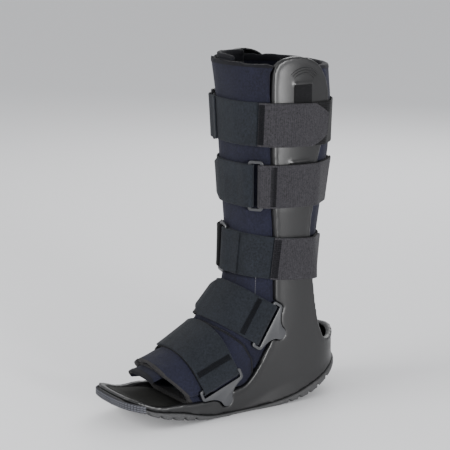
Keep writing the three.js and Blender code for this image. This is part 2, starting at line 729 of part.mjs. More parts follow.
// Heights of the webbing's middle: on the body, and lying on another layer.
const LAYER = WEB_THICKNESS + LAYER_CLEAR;
const HEIGHT_1 = WRAP_CLEAR + WEB_THICKNESS / 2;
const HEIGHT_2 = HEIGHT_1 + LAYER;
const BAR_LIFT = HEIGHT_1 + WEB_THICKNESS / 2 + BAR_CLEAR + BAR_HEIGHT / 2;
const TURN_RADIUS = WEB_THICKNESS / 2 + BAR_CLEAR + BAR_HEIGHT / 2;
const UPPER_RUN = BAR_LIFT + TURN_RADIUS;

// A half turn round a bar, from the lower run to the upper one (or back), bulging one way.
function turnRound(s, way, down = false) {
  const centre = s + way * 1.1;
  const points = [-2, -1, 0, 1, 2].map((k) => {
    const angle = (k * Math.PI) / 4;
    return { s: centre + way * TURN_RADIUS * Math.cos(angle), h: BAR_LIFT + TURN_RADIUS * Math.sin(angle) };
  });
  return down ? points.reverse() : points;
}

// Webbing along a path of {s, h, wide}.
function webbing(wrap, path) {
  const half = WEB_THICKNESS / 2;
  const rings = path.map((point, i) => {
    const before = path[Math.max(0, i - 1)];
    const after = path[Math.min(path.length - 1, i + 1)];
    const normal = (a, b) => new THREE.Vector2(a.h - b.h, b.s - a.s).normalize();
    const first = i ? normal(before, point) : normal(point, after);
    const second = i < path.length - 1 ? normal(point, after) : first;
    const miter = first.clone().add(second).divideScalar(1 + first.dot(second));
    const { s, h, wide = 1 } = point;
    const edge = (sign, w) => wrap.at(s + miter.x * half * sign, h + miter.y * half * sign, w);
    return [edge(1, -wide / 2), edge(1, wide / 2), edge(-1, wide / 2), edge(-1, -wide / 2)];
  });
  // Every layer splits its squares the same way, so that layers stay apart.
  return loft(rings, (r, i) => path[r + 1].s > path[r].s === (i === 2));
}

// A run's end with its corners cut off.
function cutEnd(points) {
  const end = points.at(-1);
  const way = Math.sign(end.s - points.at(-2).s);
  const left = (p) => (end.s - p.s) * way;
  const cuts = [TAB_CUT, TAB_CUT * 0.35].map((length) => ({ s: end.s - way * length, h: end.h }));
  const clear = points.filter((p) => cuts.every((cut) => Math.abs(cut.s - p.s) > 0.6));
  return [...clear, ...cuts]
    .sort((a, b) => left(b) - left(a))
    .map((p) => ({ ...p, wide: lookUp(CUT_SHAPE, "share", "wide", left(p) / TAB_CUT) }));
}
const CUT_SHAPE = [[0, 0.5], [0.35, 0.72], [1, 1]].map(([share, wide]) => ({ share, wide }));

// The frame of a buckle: its bars lie along the webbing's width at one height.
function frameAt(wrap, s, h, along_s) {
  const half = (w) => wrap.at(s, h, w);
  const origin = half(-0.5).add(half(0.5)).multiplyScalar(0.5);
  const across = half(0.5).sub(half(-0.5)).normalize();
  const forward = wrap.at(s + along_s, h, 0).sub(wrap.at(s - along_s, h, 0)).normalize();
  const outward = across.clone().cross(forward).normalize();
  const ahead = outward.clone().cross(across);
  return new THREE.Matrix4().makeBasis(across, ahead, outward).setPosition(origin);
}

function roundedRectangle(path, width, height, radius) {
  const [x, y] = [width / 2, height / 2];
  path.moveTo(-x + radius, -y).lineTo(x - radius, -y);
  path.absarc(x - radius, -y + radius, radius, -Math.PI / 2, 0);
  path.absarc(x - radius, y - radius, radius, 0, Math.PI / 2);
  path.absarc(-x + radius, y - radius, radius, Math.PI / 2, Math.PI);
  path.absarc(-x + radius, -y + radius, radius, Math.PI, Math.PI * 1.5);
  return path;
}

// How far from the middle of a leg buckle its bars lie along the strap's curved way.
const BAR_REACH = (BUCKLE_WINDOW + BAR_WIDTH) / 2;
function barSpread(wrap, s) {
  const bars = wrap.at(s - BAR_REACH, BAR_LIFT, 0).distanceTo(wrap.at(s + BAR_REACH, BAR_LIFT, 0));
  return (2 * BAR_REACH ** 2) / bars;
}

// A rectangular leg buckle, flat, its middle at length s.
function legBuckle(wrap, s) {
  const shape = roundedRectangle(
    new THREE.Shape(), BUCKLE_LENGTH, BUCKLE_WINDOW + BAR_WIDTH * 2, 4,
  );
  shape.holes.push(
    roundedRectangle(new THREE.Path(), BUCKLE_LENGTH - BAR_WIDTH * 2, BUCKLE_WINDOW, 1.5),
  );
  const geometry = new THREE.ExtrudeGeometry(shape, {
    depth: BAR_HEIGHT, bevelEnabled: false, curveSegments: 2,
  });
  const spread = barSpread(wrap, s);
  const bars = [s - spread, s + spread].map((place) => {
    return new THREE.Vector3().setFromMatrixPosition(frameAt(wrap, place, BAR_LIFT, 3));
  });
  const middle = frameAt(wrap, s, BAR_LIFT, spread);
  middle.setPosition(bars[0].add(bars[1]).multiplyScalar(0.5));
  geometry.translate(0, 0, -BAR_HEIGHT / 2).applyMatrix4(middle);
  return solidOf(geometry);
}

// A foot buckle: a bar and slot with a tab that ends in the shell's edge.
function chafeShape(grow) {
  const half = BUCKLE_LENGTH / 2 + grow;
  const low = -BAR_WIDTH / 2 - grow;
  const plate = BAR_WIDTH / 2 + CHAFE_SLOT + BAR_WIDTH + grow;
  const tip = CHAFE_TIP + grow;
  const end = CHAFE_REACH - CHAFE_TIP;
  const shape = new THREE.Shape();
  shape.moveTo(-half + 3, low).lineTo(half - 3, low);
  shape.absarc(half - 3, low + 3, 3, -Math.PI / 2, 0);
  shape.lineTo(half, plate - 4);
  shape.quadraticCurveTo(half, plate, half - 5, plate + 1);
  shape.quadraticCurveTo(tip + 3, plate + 5, tip, end);
  shape.absarc(0, end, tip, 0, Math.PI);
  shape.quadraticCurveTo(-tip - 3, plate + 5, -half + 5, plate + 1);
  shape.quadraticCurveTo(-half, plate, -half, plate - 4);
  shape.lineTo(-half, low + 3);
  shape.absarc(-half + 3, low + 3, 3, Math.PI, Math.PI * 1.5);
  return shape;
}
function chafe(frame, toTip, grow, depth) {
  const shape = chafeShape(grow);
  if (!grow) {
    const slot = new THREE.Path();
    const length = BUCKLE_LENGTH - BAR_WIDTH * 2;
    const [low, high] = [BAR_WIDTH / 2, BAR_WIDTH / 2 + CHAFE_SLOT];
    slot.moveTo(-length / 2, low).lineTo(length / 2, low);
    slot.lineTo(length / 2, high).lineTo(-length / 2, high).closePath();
    shape.holes.push(slot);
  }
  const geometry = new THREE.ExtrudeGeometry(shape, {
    depth, bevelEnabled: false, curveSegments: 3,
  });
  geometry.translate(0, 0, -depth / 2);
  if (toTip < 0) geometry.rotateX(Math.PI);
  return solidOf(geometry.applyMatrix4(frame));
}

// The assembly

const root = new THREE.Group();
const pieces = new Map();

function addPiece(name, solid, colour, roughness = 0.8) {
  pieces.set(name, { solid, colour, roughness });
}

addPiece("outsole", makeSole(), COLOURS.sole, 0.75);
addPiece("toe_bumper", makeBumper(), COLOURS.bumper, 0.7);
addPiece("footbed", makeFootbed(), COLOURS.footbed, 0.9);
addPiece("liner", liner, COLOURS.liner, 0.95);
addPiece("liner_leg_flap", legFlap, COLOURS.liner, 0.95);
addPiece("liner_foot_flap", footFlap, COLOURS.liner, 0.95);
addPiece("liner_top_tongue", tongue, COLOURS.lining, 0.95);
addPiece("liner_toe_flap", toeFlap, COLOURS.lining, 0.95);

// Foot straps: one under layer from the far buckle to the near one, turned round its bar,
// and a top layer that comes back over the foot.
const softTriangles = trianglesOf([liner, legFlap, footFlap]);
const notches = [];
FOOT_STRAPS.forEach((strap, index) => {
  const lean = rad(strap.lean);
  const across = vec(0, Math.sin(lean), Math.cos(lean));
  const wrap = new Wrap(softTriangles, {
    centre: vec(0, along(strap.along), up(strap.up)),
    across,
    ahead: vec(0, -Math.cos(lean), Math.sin(lean)),
  });
  const near = wrap.lengthAt(strap.bar);
  const far = wrap.lengthAt(-strap.bar);
  const tip = wrap.lengthAt(strap.tip);
  const under = [
    ...wrap.run(far + FOLD_LENGTH + 6, far + FOLD_LENGTH, HEIGHT_2).slice(0, -1),
    ...wrap.run(far + FOLD_LENGTH, far + 3, HEIGHT_2, UPPER_RUN),
    ...turnRound(far, -1, true),
    ...wrap.run(far + 6, near - 12, HEIGHT_1),
  ];
  const top = [
    { s: near - 12 + GAP, h: HEIGHT_1 },
    { s: near - 5, h: HEIGHT_1 },
    ...turnRound(near, 1),
    ...wrap.run(near - 3, near - FOLD_LENGTH, UPPER_RUN, HEIGHT_2).slice(0, -1),
    ...cutEnd(wrap.run(near - FOLD_LENGTH, tip, HEIGHT_2)),
  ];
  const name = "foot_strap_" + (index + 1);
  addPiece(name + "_under", webbing(wrap, under), COLOURS.under, 0.95);
  addPiece(name + "_top", webbing(wrap, top), COLOURS.web, 0.95);
  for (const [side, s, way] of [["near", near, 1], ["far", far, -1]]) {
    const frame = frameAt(wrap, s, BAR_LIFT, 3);
    addPiece(name + "_" + side + "_buckle", chafe(frame, way, 0, BAR_HEIGHT), COLOURS.ring, 0.5);
    notches.push(chafe(frame, way, CHAFE_CLEAR, 30));
  }
});

// Hook patches on the uprights, each under a small ledge.
function onUpright(patch, side, extra, from, to) {
  const y = along(patch.along);
  const shell = trim(shellLoft(extra + PATCH_THICKNESS), shellLoft(extra));
  const box = sideSolid(
    [[y, from], [y + PATCH_WIDTH, from], [y + PATCH_WIDTH, to], [y, to]],
    side > 0 ? 0 : -200,
    side > 0 ? 200 : 0,
  );
  return shell.intersect(box);
}
const ledges = [];
for (const [side, name] of [[1, "near"], [-1, "far"]]) {
  PATCHES.forEach((patch, index) => {
    const top = up(patch.top);
    const label = "hook_patch_" + name + "_" + (index ? "lower" : "upper");
    addPiece(label, onUpright(patch, side, GAP, up(patch.foot), top), COLOURS.under, 1);
    ledges.push(onUpright(patch, side, -1, top + GAP, top + GAP + PATCH_LEDGE));
    ledges.push(onUpright(patch, side, 0, top + GAP, top + GAP + PATCH_LEDGE));
  });
}
const shell = mainBody(trim(unite(rawShell, ...ledges), ...notches));
addPiece("shell", shell, COLOURS.shell, 0.45);

// Leg straps: a back layer round the uprights, a front layer and an end tab, with a buckle.
const patchSolids = [...pieces].filter(([name]) => name.startsWith("hook")).map(([, p]) => p.solid);
const legTriangles = trianglesOf([liner, legFlap, shell, ...patchSolids]);
LEG_STRAPS.forEach((strap, index) => {
  const tilt = Math.tan(rad(strap.tilt));
  const across = vec(0.545 * tilt, 0.839 * tilt, 1).normalize();
  const ahead = vec(0, -1, 0).addScaledVector(across, across.y).normalize();
  const wrap = new Wrap(legTriangles, { centre: vec(0, 0, up(strap.up)), across, ahead });
  const ring = wrap.lengthAt(strap.ring);
  const spread = barSpread(wrap, ring);
  const [left, right] = [ring - spread, ring + spread];
  const name = "leg_strap_" + (index + 1);
  const foldOver = (s, way) => [
    ...wrap.run(s + way * (FOLD_LENGTH + 6), s + way * FOLD_LENGTH, HEIGHT_2).slice(0, -1),
    ...wrap.run(s + way * FOLD_LENGTH, s + way * 3, HEIGHT_2, UPPER_RUN),
    ...turnRound(s, -way, true),
    { s: s + way * 5, h: HEIGHT_1 },
  ];
  const end = wrap.lengthAt(strap.end);
  if (strap.tail === null) {
    const start = wrap.lengthAt(BACK_START);
    addPiece(name + "_back", webbing(wrap, [
      ...foldOver(left + wrap.girth, -1),
      ...wrap.run(left + wrap.girth - 8, start, HEIGHT_1),
    ]), COLOURS.under, 0.95);
    addPiece(name + "_front", webbing(wrap, [
      ...foldOver(right, 1),
      ...wrap.run(right + 8, start - GAP * 2, HEIGHT_1),
    ]), COLOURS.web, 0.95);
    addPiece(name + "_tab", webbing(wrap,
      cutEnd(wrap.run(wrap.lengthAt(strap.seam), end, HEIGHT_2))), COLOURS.hook, 0.95);
  } else {
    const join = wrap.lengthAt(-75);
    addPiece(name + "_back", webbing(wrap,
      wrap.run(wrap.lengthAt(strap.seam + 12), join + wrap.girth - GAP, HEIGHT_1)), COLOURS.under, 0.95);
    addPiece(name + "_front", webbing(wrap, [
      ...wrap.run(join, left - 5, HEIGHT_1),
      ...turnRound(left, 1),
      ...wrap.run(left - 3, left - FOLD_LENGTH, UPPER_RUN, HEIGHT_2).slice(0, -1),
      ...cutEnd(wrap.run(left - FOLD_LENGTH, wrap.lengthAt(strap.tail), HEIGHT_2)),
    ]), COLOURS.web, 0.95);
    addPiece(name + "_tab", webbing(wrap, [
      { s: right + 11, h: HEIGHT_1 },
      { s: right + 5, h: HEIGHT_1 },
      ...turnRound(right, -1),
      ...wrap.run(right + 3, right + FOLD_LENGTH, UPPER_RUN, HEIGHT_2).slice(0, -1),
      ...wrap.run(right + FOLD_LENGTH, end, HEIGHT_2),
    ]), COLOURS.hook, 0.95);
  }
  addPiece(name + "_buckle", legBuckle(wrap, ring), COLOURS.ring, 0.5);
});

for (const [name, { solid, colour, roughness }] of pieces) {
  const { vertProperties, triVerts } = solid.asOriginal().simplify(FACET).getMesh();
  const geometry = new THREE.BufferGeometry();
  geometry.setAttribute("position", new THREE.BufferAttribute(vertProperties, 3));
  geometry.setIndex(new THREE.BufferAttribute(triVerts, 1));
  geometry.computeVertexNormals();
  const material = new THREE.MeshStandardMaterial({ color: colour, roughness, metalness: 0 });
  const mesh = new THREE.Mesh(geometry, material);
  mesh.name = name;
  root.add(mesh);
}

// The finished part stands with its base centred on the origin.
root.updateMatrixWorld(true);
const bounds = new THREE.Box3().setFromObject(root, true);
const middle = bounds.getCenter(vec(0, 0, 0));
root.position.set(-middle.x, -middle.y, -bounds.min.z);

export default root;
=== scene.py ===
"""The dressed walking boot.

A moulded shell with two uprights on a rocker sole, a padded wrap liner, three leg straps
and two foot straps with their buckles, on a plain studio floor. Forms are worked out in
millimetres round the leg's axis and placed in metres in the boot's own frame.
"""

from __future__ import annotations

import json
import logging
import math
from dataclasses import dataclass
from enum import Enum
from typing import Any, Sequence

import bmesh
import bpy
import numpy as np
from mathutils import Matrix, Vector

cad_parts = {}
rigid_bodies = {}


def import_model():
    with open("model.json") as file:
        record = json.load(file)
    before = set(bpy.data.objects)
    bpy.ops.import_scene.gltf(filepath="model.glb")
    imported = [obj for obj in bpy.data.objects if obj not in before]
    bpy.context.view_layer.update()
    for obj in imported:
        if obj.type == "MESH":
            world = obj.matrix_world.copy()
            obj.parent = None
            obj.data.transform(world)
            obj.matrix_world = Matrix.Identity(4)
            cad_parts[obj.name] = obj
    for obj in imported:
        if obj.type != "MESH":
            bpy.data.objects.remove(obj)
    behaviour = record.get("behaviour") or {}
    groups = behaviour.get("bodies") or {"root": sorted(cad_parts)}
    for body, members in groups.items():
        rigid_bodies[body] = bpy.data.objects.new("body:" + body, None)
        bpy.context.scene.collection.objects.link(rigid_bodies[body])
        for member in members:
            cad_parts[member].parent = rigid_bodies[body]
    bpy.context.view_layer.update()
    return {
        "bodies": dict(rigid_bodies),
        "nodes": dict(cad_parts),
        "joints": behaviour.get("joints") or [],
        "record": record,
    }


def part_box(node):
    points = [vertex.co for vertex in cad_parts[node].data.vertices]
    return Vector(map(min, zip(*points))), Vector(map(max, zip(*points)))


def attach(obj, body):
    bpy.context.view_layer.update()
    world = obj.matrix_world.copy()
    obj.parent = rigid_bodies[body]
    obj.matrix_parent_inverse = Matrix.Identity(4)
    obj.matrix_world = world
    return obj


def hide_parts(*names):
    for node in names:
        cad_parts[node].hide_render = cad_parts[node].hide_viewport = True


logging.basicConfig(level=logging.INFO, format="%(name)s: %(message)s")
LOG = logging.getLogger("walking_boot")

FOOT_LENGTH = 307.0
FOOT_WIDTH = 108.0
UPRIGHT_TOP = 414.5
UPRIGHT_SPAN = 120.0  # across both uprights at their tops
AXIS_SHARE = 0.733  # where the leg's axis stands, as a share of the length from the toe
GAP = 0.35  # left between pieces that touch
WEB_WIDTH = 50.8
WEB_THICKNESS = 1.8
MM = 1000.0  # mm in a metre
TINY = 1e-9  # stands in for nothing where a value divides
SHARP = 50.0  # degrees past which a hard piece's edge stays sharp

Solid = tuple[np.ndarray, np.ndarray]  # points and triangles
Outline = list[tuple[float, float]]  # (y, z) from the side
Path = list[tuple[float, float]]  # (length, height) along a strap's way
Place = tuple[float, float, float]
Colour = tuple[float, float, float]  # display values of 0 to 255
Object = bpy.types.Object

# The sole's outline from above: (share of the length, share of half the width).
PLAN = (
    (0, 0), (0.002, 0.278), (0.01, 0.5), (0.026, 0.676), (0.051, 0.796), (0.102, 0.898),
    (0.166, 0.963), (0.262, 1), (0.358, 0.981), (0.454, 0.948), (0.55, 0.93), (0.677, 0.926),
    (0.738, 0.926), (0.805, 0.907), (0.869, 0.852), (0.914, 0.75), (0.952, 0.583),
    (0.978, 0.398), (0.994, 0.204), (1, 0),
)
# Along the sole: (share of the length, share of the spring at that end, share of the
# thickness, share of the skirt's band).
SOLE = (
    (0, 1, 0.45, 0), (0.022, 0.86, 0.47, 0), (0.045, 0.75, 0.5, 0), (0.073, 0.61, 0.5, 0),
    (0.11, 0.455, 0.56, 0), (0.149, 0.335, 0.7, 0), (0.19, 0.245, 0.78, 0),
    (0.227, 0.18, 0.77, 0), (0.27, 0.11, 0.6, 0), (0.32, 0.04, 0.42, 0), (0.37, 0, 0.3, 0),
    (0.46, 0, 0.24, 0.02), (0.51, 0, 0.24, 0.27), (0.57, 0, 0.26, 0.55),
    (0.635, 0, 0.4, 0.92), (0.695, 0, 0.62, 1), (0.757, 0.1, 0.7, 0.86),
    (0.805, 0.17, 0.95, 0.66), (0.843, 0.32, 0.85, 0.55), (0.884, 0.52, 0.75, 0.5),
    (0.935, 0.76, 0.72, 0.5), (1, 1, 0.64, 0.5),
)
# The tray's rim: (share of the length, share of the tray wall above the sole).
TRAY_RIM = (
    (-0.03, 0.26), (0.038, 0.22), (0.071, 0.25), (0.113, 0.23), (0.156, 0.25), (0.187, 0.33),
    (0.23, 0.4), (0.272, 0.47), (0.318, 0.61), (0.364, 0.77), (0.406, 0.84), (0.447, 0.93),
    (0.497, 1),
)
# An upright's outline from the side, from its front foot round its top to the heel:
# (share of the length, share of the uprights' top).
FRONT_EDGE = (
    (0.524, 0.088), (0.552, 0.11), (0.581, 0.139), (0.6, 0.163), (0.622, 0.183),
    (0.64, 0.212), (0.648, 0.246), (0.648, 0.374), (0.638, 0.527), (0.629, 0.569),
    (0.622, 0.707), (0.617, 0.878), (0.617, 0.926),
)
DOME = (
    (0.619, 0.958), (0.63, 0.979), (0.65, 0.992), (0.673, 0.998), (0.7, 1), (0.726, 1),
    (0.756, 0.996), (0.788, 0.987), (0.819, 0.971), (0.844, 0.949), (0.862, 0.923),
    (0.873, 0.89),
)
REAR_EDGE = (
    (0.875, 0.859), (0.86, 0.799), (0.834, 0.743), (0.815, 0.697), (0.8, 0.557),
    (0.793, 0.511), (0.805, 0.434), (0.824, 0.355), (0.831, 0.309), (0.84, 0.268),
    (0.852, 0.227), (0.873, 0.187), (0.893, 0.164), (0.922, 0.163), (0.964, 0.172),
    (1.02, 0.188),
)
# How far the half width has grown from the ankle's to the uprights', by height.
SPREAD = ((0, 0), (0.379, 0), (0.51, 0.4), (0.568, 0.65), (0.748, 0.9), (0.874, 1), (1.1, 1))


def along(share: float) -> float:
    """Place along the boot, in mm from the leg's axis, of a share from the toe."""
    return (share - AXIS_SHARE) * FOOT_LENGTH


def up(share: float) -> float:
    """Height in mm of a share of the uprights' top."""
    return share * UPRIGHT_TOP


def smooth_step(value: np.ndarray | float, low: float, high: float) -> np.ndarray | float:
    """A soft step from 0 at low to 1 at high."""
    t = np.clip((value - low) / (high - low), 0, 1)
    return t * t * (3 - 2 * t)


def unit(vectors: np.ndarray) -> np.ndarray:
    """Vectors at length 1; one of no length stays as it is."""
    return vectors / np.maximum(TINY, np.linalg.norm(vectors, axis=-1, keepdims=True))


def turned(steps: np.ndarray) -> np.ndarray:
    """Flat vectors after a quarter turn to the right."""
    return np.stack([steps[:, 1], -steps[:, 0]], 1)


def rounded(rows: Sequence[Sequence[float]], rounds: int = 2) -> Outline:
    """An open line with its corners cut, ends kept.

    Args:
        rows: Points of the line.
        rounds: How often the corners are cut.

    Returns:
        The finer line.
    """
    line = [tuple(map(float, row)) for row in rows]
    for _ in range(rounds):
        finer = [line[0]]
        for a, b in zip(line, line[1:]):
            for t in (0.25, 0.75):
                finer.append(tuple(p + (q - p) * t for p, q in zip(a, b)))
        line = finer + [line[-1]]
    return line


class Meet(Enum):
    """How one solid changes another."""

    AWAY = "DIFFERENCE"
    WITHIN = "INTERSECT"
    WITH = "UNION"


class Bench:
    """Makes, cuts and finishes meshes; places them in the boot's frame."""

    axis = np.zeros(3)

    @classmethod
    def centre(cls) -> None:
        """Finds the leg's axis in the frame from the symmetric patches on the uprights."""
        near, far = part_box("hook_patch_near_upper"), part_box("hook_patch_far_upper")
        cls.axis = np.array(((near[1][0] + far[0][0]) / 2, near[0][1] - along(PATCH_START) / MM, 0))

    @classmethod
    def place(cls, points: np.ndarray) -> np.ndarray:
        """Points in mm round the leg's axis, in metres in the frame."""
        return np.asarray(points, float) / MM + cls.axis

    @classmethod
    def read(cls, obj: Object) -> Solid:
        """Corner points and triangles of a mesh, in mm round the leg's axis."""
        mesh = obj.data
        mesh.calc_loop_triangles()
        points = np.empty(len(mesh.vertices) * 3)
        mesh.vertices.foreach_get("co", points)
        triangles = np.empty(len(mesh.loop_triangles) * 3, int)
        mesh.loop_triangles.foreach_get("vertices", triangles)
        return (points.reshape(-1, 3) - cls.axis) * MM, triangles.reshape(-1, 3)

    @staticmethod
    def link(name: str, data: bpy.types.Mesh) -> Object:
        """A mesh as a new object of the scene."""
        obj = bpy.data.objects.new(name, data)
        bpy.context.scene.collection.objects.link(obj)
        return obj

    @classmethod
    def copy(cls, node: Object, name: str) -> Object:
        """A merged copy of a frame node's mesh in a new object."""
        data = node.data.copy()
        obj = cls.link(name, data)
        work = bmesh.new()
        work.from_mesh(data)
        bmesh.ops.remove_doubles(work, verts=work.verts, dist=1e-6)
        work.to_mesh(data)
        work.free()
        data.materials.clear()
        return obj

    @classmethod
    def outward(cls, obj: Object) -> Object:
        """Turns the faces of a closed mesh outwards."""
        work = bmesh.new()
        work.from_mesh(obj.data)
        bmesh.ops.recalc_face_normals(work, faces=work.faces)
        if work.calc_volume(signed=True) < 0:
            bmesh.ops.reverse_faces(work, faces=work.faces)
        work.to_mesh(obj.data)
        work.free()
        return obj

    @classmethod
    def lofted(cls, name: str, rings: Sequence[np.ndarray]) -> Object:
        """A closed object through rings of equally many points, its faces outwards.

        Args:
            name: The object's name.
            rings: The rings in mm, all the same way round.

        Returns:
            The new object, with flat ends.
        """
        n, last = len(rings[0]), (len(rings) - 1) * len(rings[0])
        faces = [(r + i, r + (i + 1) % n, r + (i + 1) % n + n, r + i + n)
                 for r in range(0, last, n) for i in range(n)]
        faces += [tuple(reversed(range(n))), tuple(range(last, last + n))]
        data = bpy.data.meshes.new(name)
        data.from_pydata(cls.place(np.concatenate(rings)).tolist(), [], faces)
        data.validate()
        return cls.outward(cls.link(name, data))

    @classmethod
    def side_solid(cls, name: str, outline: Sequence[Sequence[float]], low: float = -200,
                   high: float = 200) -> Object:
        """A side view (y, z) carried across from x = low to x = high."""
        return cls.lofted(name, [np.array([(x, y, z) for y, z in outline]) for x in (low, high)])

    @classmethod
    def settle(cls, obj: Object) -> Object:
        """Applies every modifier of an object."""
        graph = bpy.context.evaluated_depsgraph_get()
        graph.update()
        data = bpy.data.meshes.new_from_object(obj.evaluated_get(graph))
        old = obj.data
        obj.modifiers.clear()
        obj.data = data
        data.name = obj.name
        if old.users == 0:
            bpy.data.meshes.remove(old)
        return obj

    @classmethod
    def boolean(cls, obj: Object, *steps: tuple[Object, Meet]) -> Object:
        """Cuts, joins or intersects an object with others in turn, which are used up."""
        for other, meet in steps:
            modifier = obj.modifiers.new("cut", "BOOLEAN")
            modifier.operation = meet.value
            modifier.solver = "MANIFOLD"
            modifier.object = other
            cls.settle(obj)
            bpy.data.objects.remove(other)
        return obj

    @classmethod
    def refine(cls, obj: Object, voxel: float, rounds: int) -> Object:
        """Remeshes an object evenly and smooths it.

        Args:
            obj: A closed mesh object.
            voxel: Mesh width in mm.
            rounds: Smoothing rounds.

        Returns:
            The same object.
        """
        remesh = obj.modifiers.new("even", "REMESH")
        remesh.mode = "VOXEL"
        remesh.voxel_size = voxel / MM
        remesh.use_smooth_shade = True
        soft = obj.modifiers.new("soft", "SMOOTH")
        soft.factor = 0.5
        soft.iterations = rounds
        return cls.settle(obj)

    @staticmethod
    def shade(obj: Object, angle: float | None = None) -> Object:
        """Smooth shading, with edges sharper than an angle in degrees kept."""
        obj.data.shade_smooth()
        if angle is not None:
            obj.data.set_sharp_from_angle(angle=math.radians(angle))
        return obj

    @classmethod
    def bevel(cls, obj: Object, width: float, segments: int) -> Object:
        """Rounds the edges of an object, width in mm."""
        modifier = obj.modifiers.new("edge", "BEVEL")
        modifier.width = width / MM
        modifier.segments = segments
        modifier.limit_method = "ANGLE"
        modifier.angle_limit = math.radians(40)
        modifier.use_clamp_overlap = True
        return cls.shade(cls.settle(obj), SHARP)


class ShellForm:
    """The outer form that the shell, the sole, the bumper and the footbed share."""

    lip_depth = 7.0
    lip_height = 3.0
    wall = 4.2
    floor = 2.4
    tray_wall = 28.0
    skirt_flare = 3.0
    skirt_band = 17.0
    bow = 6.0
    upright_width = 79.5
    upright_middle = 0.746
    sole_thickness = 11.0
    toe_spring = 32.0
    heel_spring = 32.0
    plate_levels = (0.12, 0.3)  # shares of the height over which the uprights flatten
    plate_reach = 1.35  # how far past the plan's curve a flat upright may go
    flare_centre = 0.82  # share of the length that the skirt's flare turns round
    coarse_from = 70.0  # height in mm from which the levels lie further apart
    coarse_step = 2.2
    end_run = 30.0  # how far the sole's line runs out past the ends

    def __init__(self, count: int = 96) -> None:
        """Samples the plan's curve.

        Args:
            count: Points along one side.
        """
        rows = np.array(PLAN, float) * (FOOT_LENGTH, FOOT_WIDTH / 2)
        dense = []
        for i in range(len(rows) - 1):
            p0, p1, p2, p3 = (rows[min(max(j, 0), len(rows) - 1)] for j in range(i - 1, i + 3))
            v0, v1 = (p2 - p0) / 2, (p3 - p1) / 2
            for t in np.linspace(0, 1, 16, endpoint=False):
                dense.append((2 * p1 - 2 * p2 + v0 + v1) * t**3
                             + (-3 * p1 + 3 * p2 - 2 * v0 - v1) * t**2 + v0 * t + p1)
        dense.append(rows[-1])
        line = np.array(dense)
        length = np.concatenate([[0], np.cumsum(np.linalg.norm(np.diff(line, axis=0), axis=1))])
        places = np.linspace(0, length[-1], count + 1)
        self.y = np.interp(places, length, line[:, 0]) + along(0)
        self.half = np.maximum(0, np.interp(places, length, line[:, 1]))
        self.ankle = float(np.interp(AXIS_SHARE, *np.array(PLAN).T)) * FOOT_WIDTH

    @staticmethod
    def column(place: np.ndarray | float, index: int) -> np.ndarray | float:
        """One column of the sole's table at a place, a share from the toe."""
        table = np.array(rounded(SOLE, 2))
        return np.interp(place, table[:, 0], table[:, index])

    def bottom(self, place: np.ndarray | float) -> np.ndarray | float:
        """Height of the tread's face."""
        spring = np.where(np.asarray(place) < 0.5, self.toe_spring, self.heel_spring)
        return self.column(place, 1) * spring

    def top(self, place: np.ndarray | float) -> np.ndarray | float:
        """Height of the sole's upper face."""
        return self.bottom(place) + self.column(place, 2) * self.sole_thickness

    def ring(self, z: float, offset: float) -> np.ndarray:
        """The outline at one height, grown by an offset, in mm."""
        share = z / UPRIGHT_TOP
        spread = np.interp(share, *np.array(SPREAD).T)
        grow = 1 + (UPRIGHT_SPAN / self.ankle - 1) * spread
        plate = smooth_step(share, *self.plate_levels)
        middle = along(self.upright_middle)
        bend = self.bow * np.minimum(1.5, ((self.y - middle) / (self.upright_width / 2)) ** 2)
        flat = np.minimum(self.ankle / 2, self.half * self.plate_reach) - np.where(self.half > 0, bend, 0)
        flat = np.maximum(0, flat)
        x = (self.half + (flat - self.half) * plate) * grow
        ring = np.array([*zip(x, self.y), *zip(-x[-2:0:-1], self.y[-2:0:-1])])
        normal = unit(turned(np.roll(ring, -1, axis=0) - np.roll(ring, 1, axis=0)))
        outside = ring - ring.mean(axis=0)
        normal *= np.where((normal * outside).sum(axis=1) < 0, -1, 1)[:, None]
        ring = ring + normal * offset
        place = np.clip(ring[:, 1] / FOOT_LENGTH + AXIS_SHARE, 0, 1)
        band = self.column(place, 3) * self.skirt_band
        depth = np.clip((self.top(place) + band - z) / self.skirt_band, 0, band / self.skirt_band)
        back = ring[:, 1] - np.minimum(ring[:, 1], along(self.flare_centre))
        away = unit(np.stack([ring[:, 0], back], 1))
        ring = ring + away * (depth * self.skirt_flare)[:, None]
        return np.column_stack([ring, np.full(len(ring), z)])

    def skin(self, name: str, offset: float, low: float = 0.0, high: float = 419.0,
             step: float = 3.0) -> Object:
        """The whole outer form between two heights, grown by an offset."""
        fine = np.arange(low, min(high, self.coarse_from), step)
        coarse = np.arange(max(low, self.coarse_from), high, step * self.coarse_step)
        return Bench.lofted(name, [self.ring(z, offset) for z in [*fine, *coarse, high]])

    def line(self, height: float) -> Outline:
        """The line (y, z) at a height above the sole's upper face, run out past its ends."""
        shares = np.linspace(0, 1, 60)
        line = [(along(s), float(self.top(s)) + height) for s in shares]
        slope = (line[0][1] - line[1][1]) / (line[0][0] - line[1][0])
        start = (line[0][0] - self.end_run, line[0][1] - self.end_run * slope)
        return [start, *line, (line[-1][0] + self.end_run, line[-1][1] + 8)]

    def above(self, name: str, height: float) -> Object:
        """Everything above that line."""
        line, top = self.line(height), 600
        return Bench.side_solid(name, [*line, (line[-1][0], top), (line[0][0], top)])

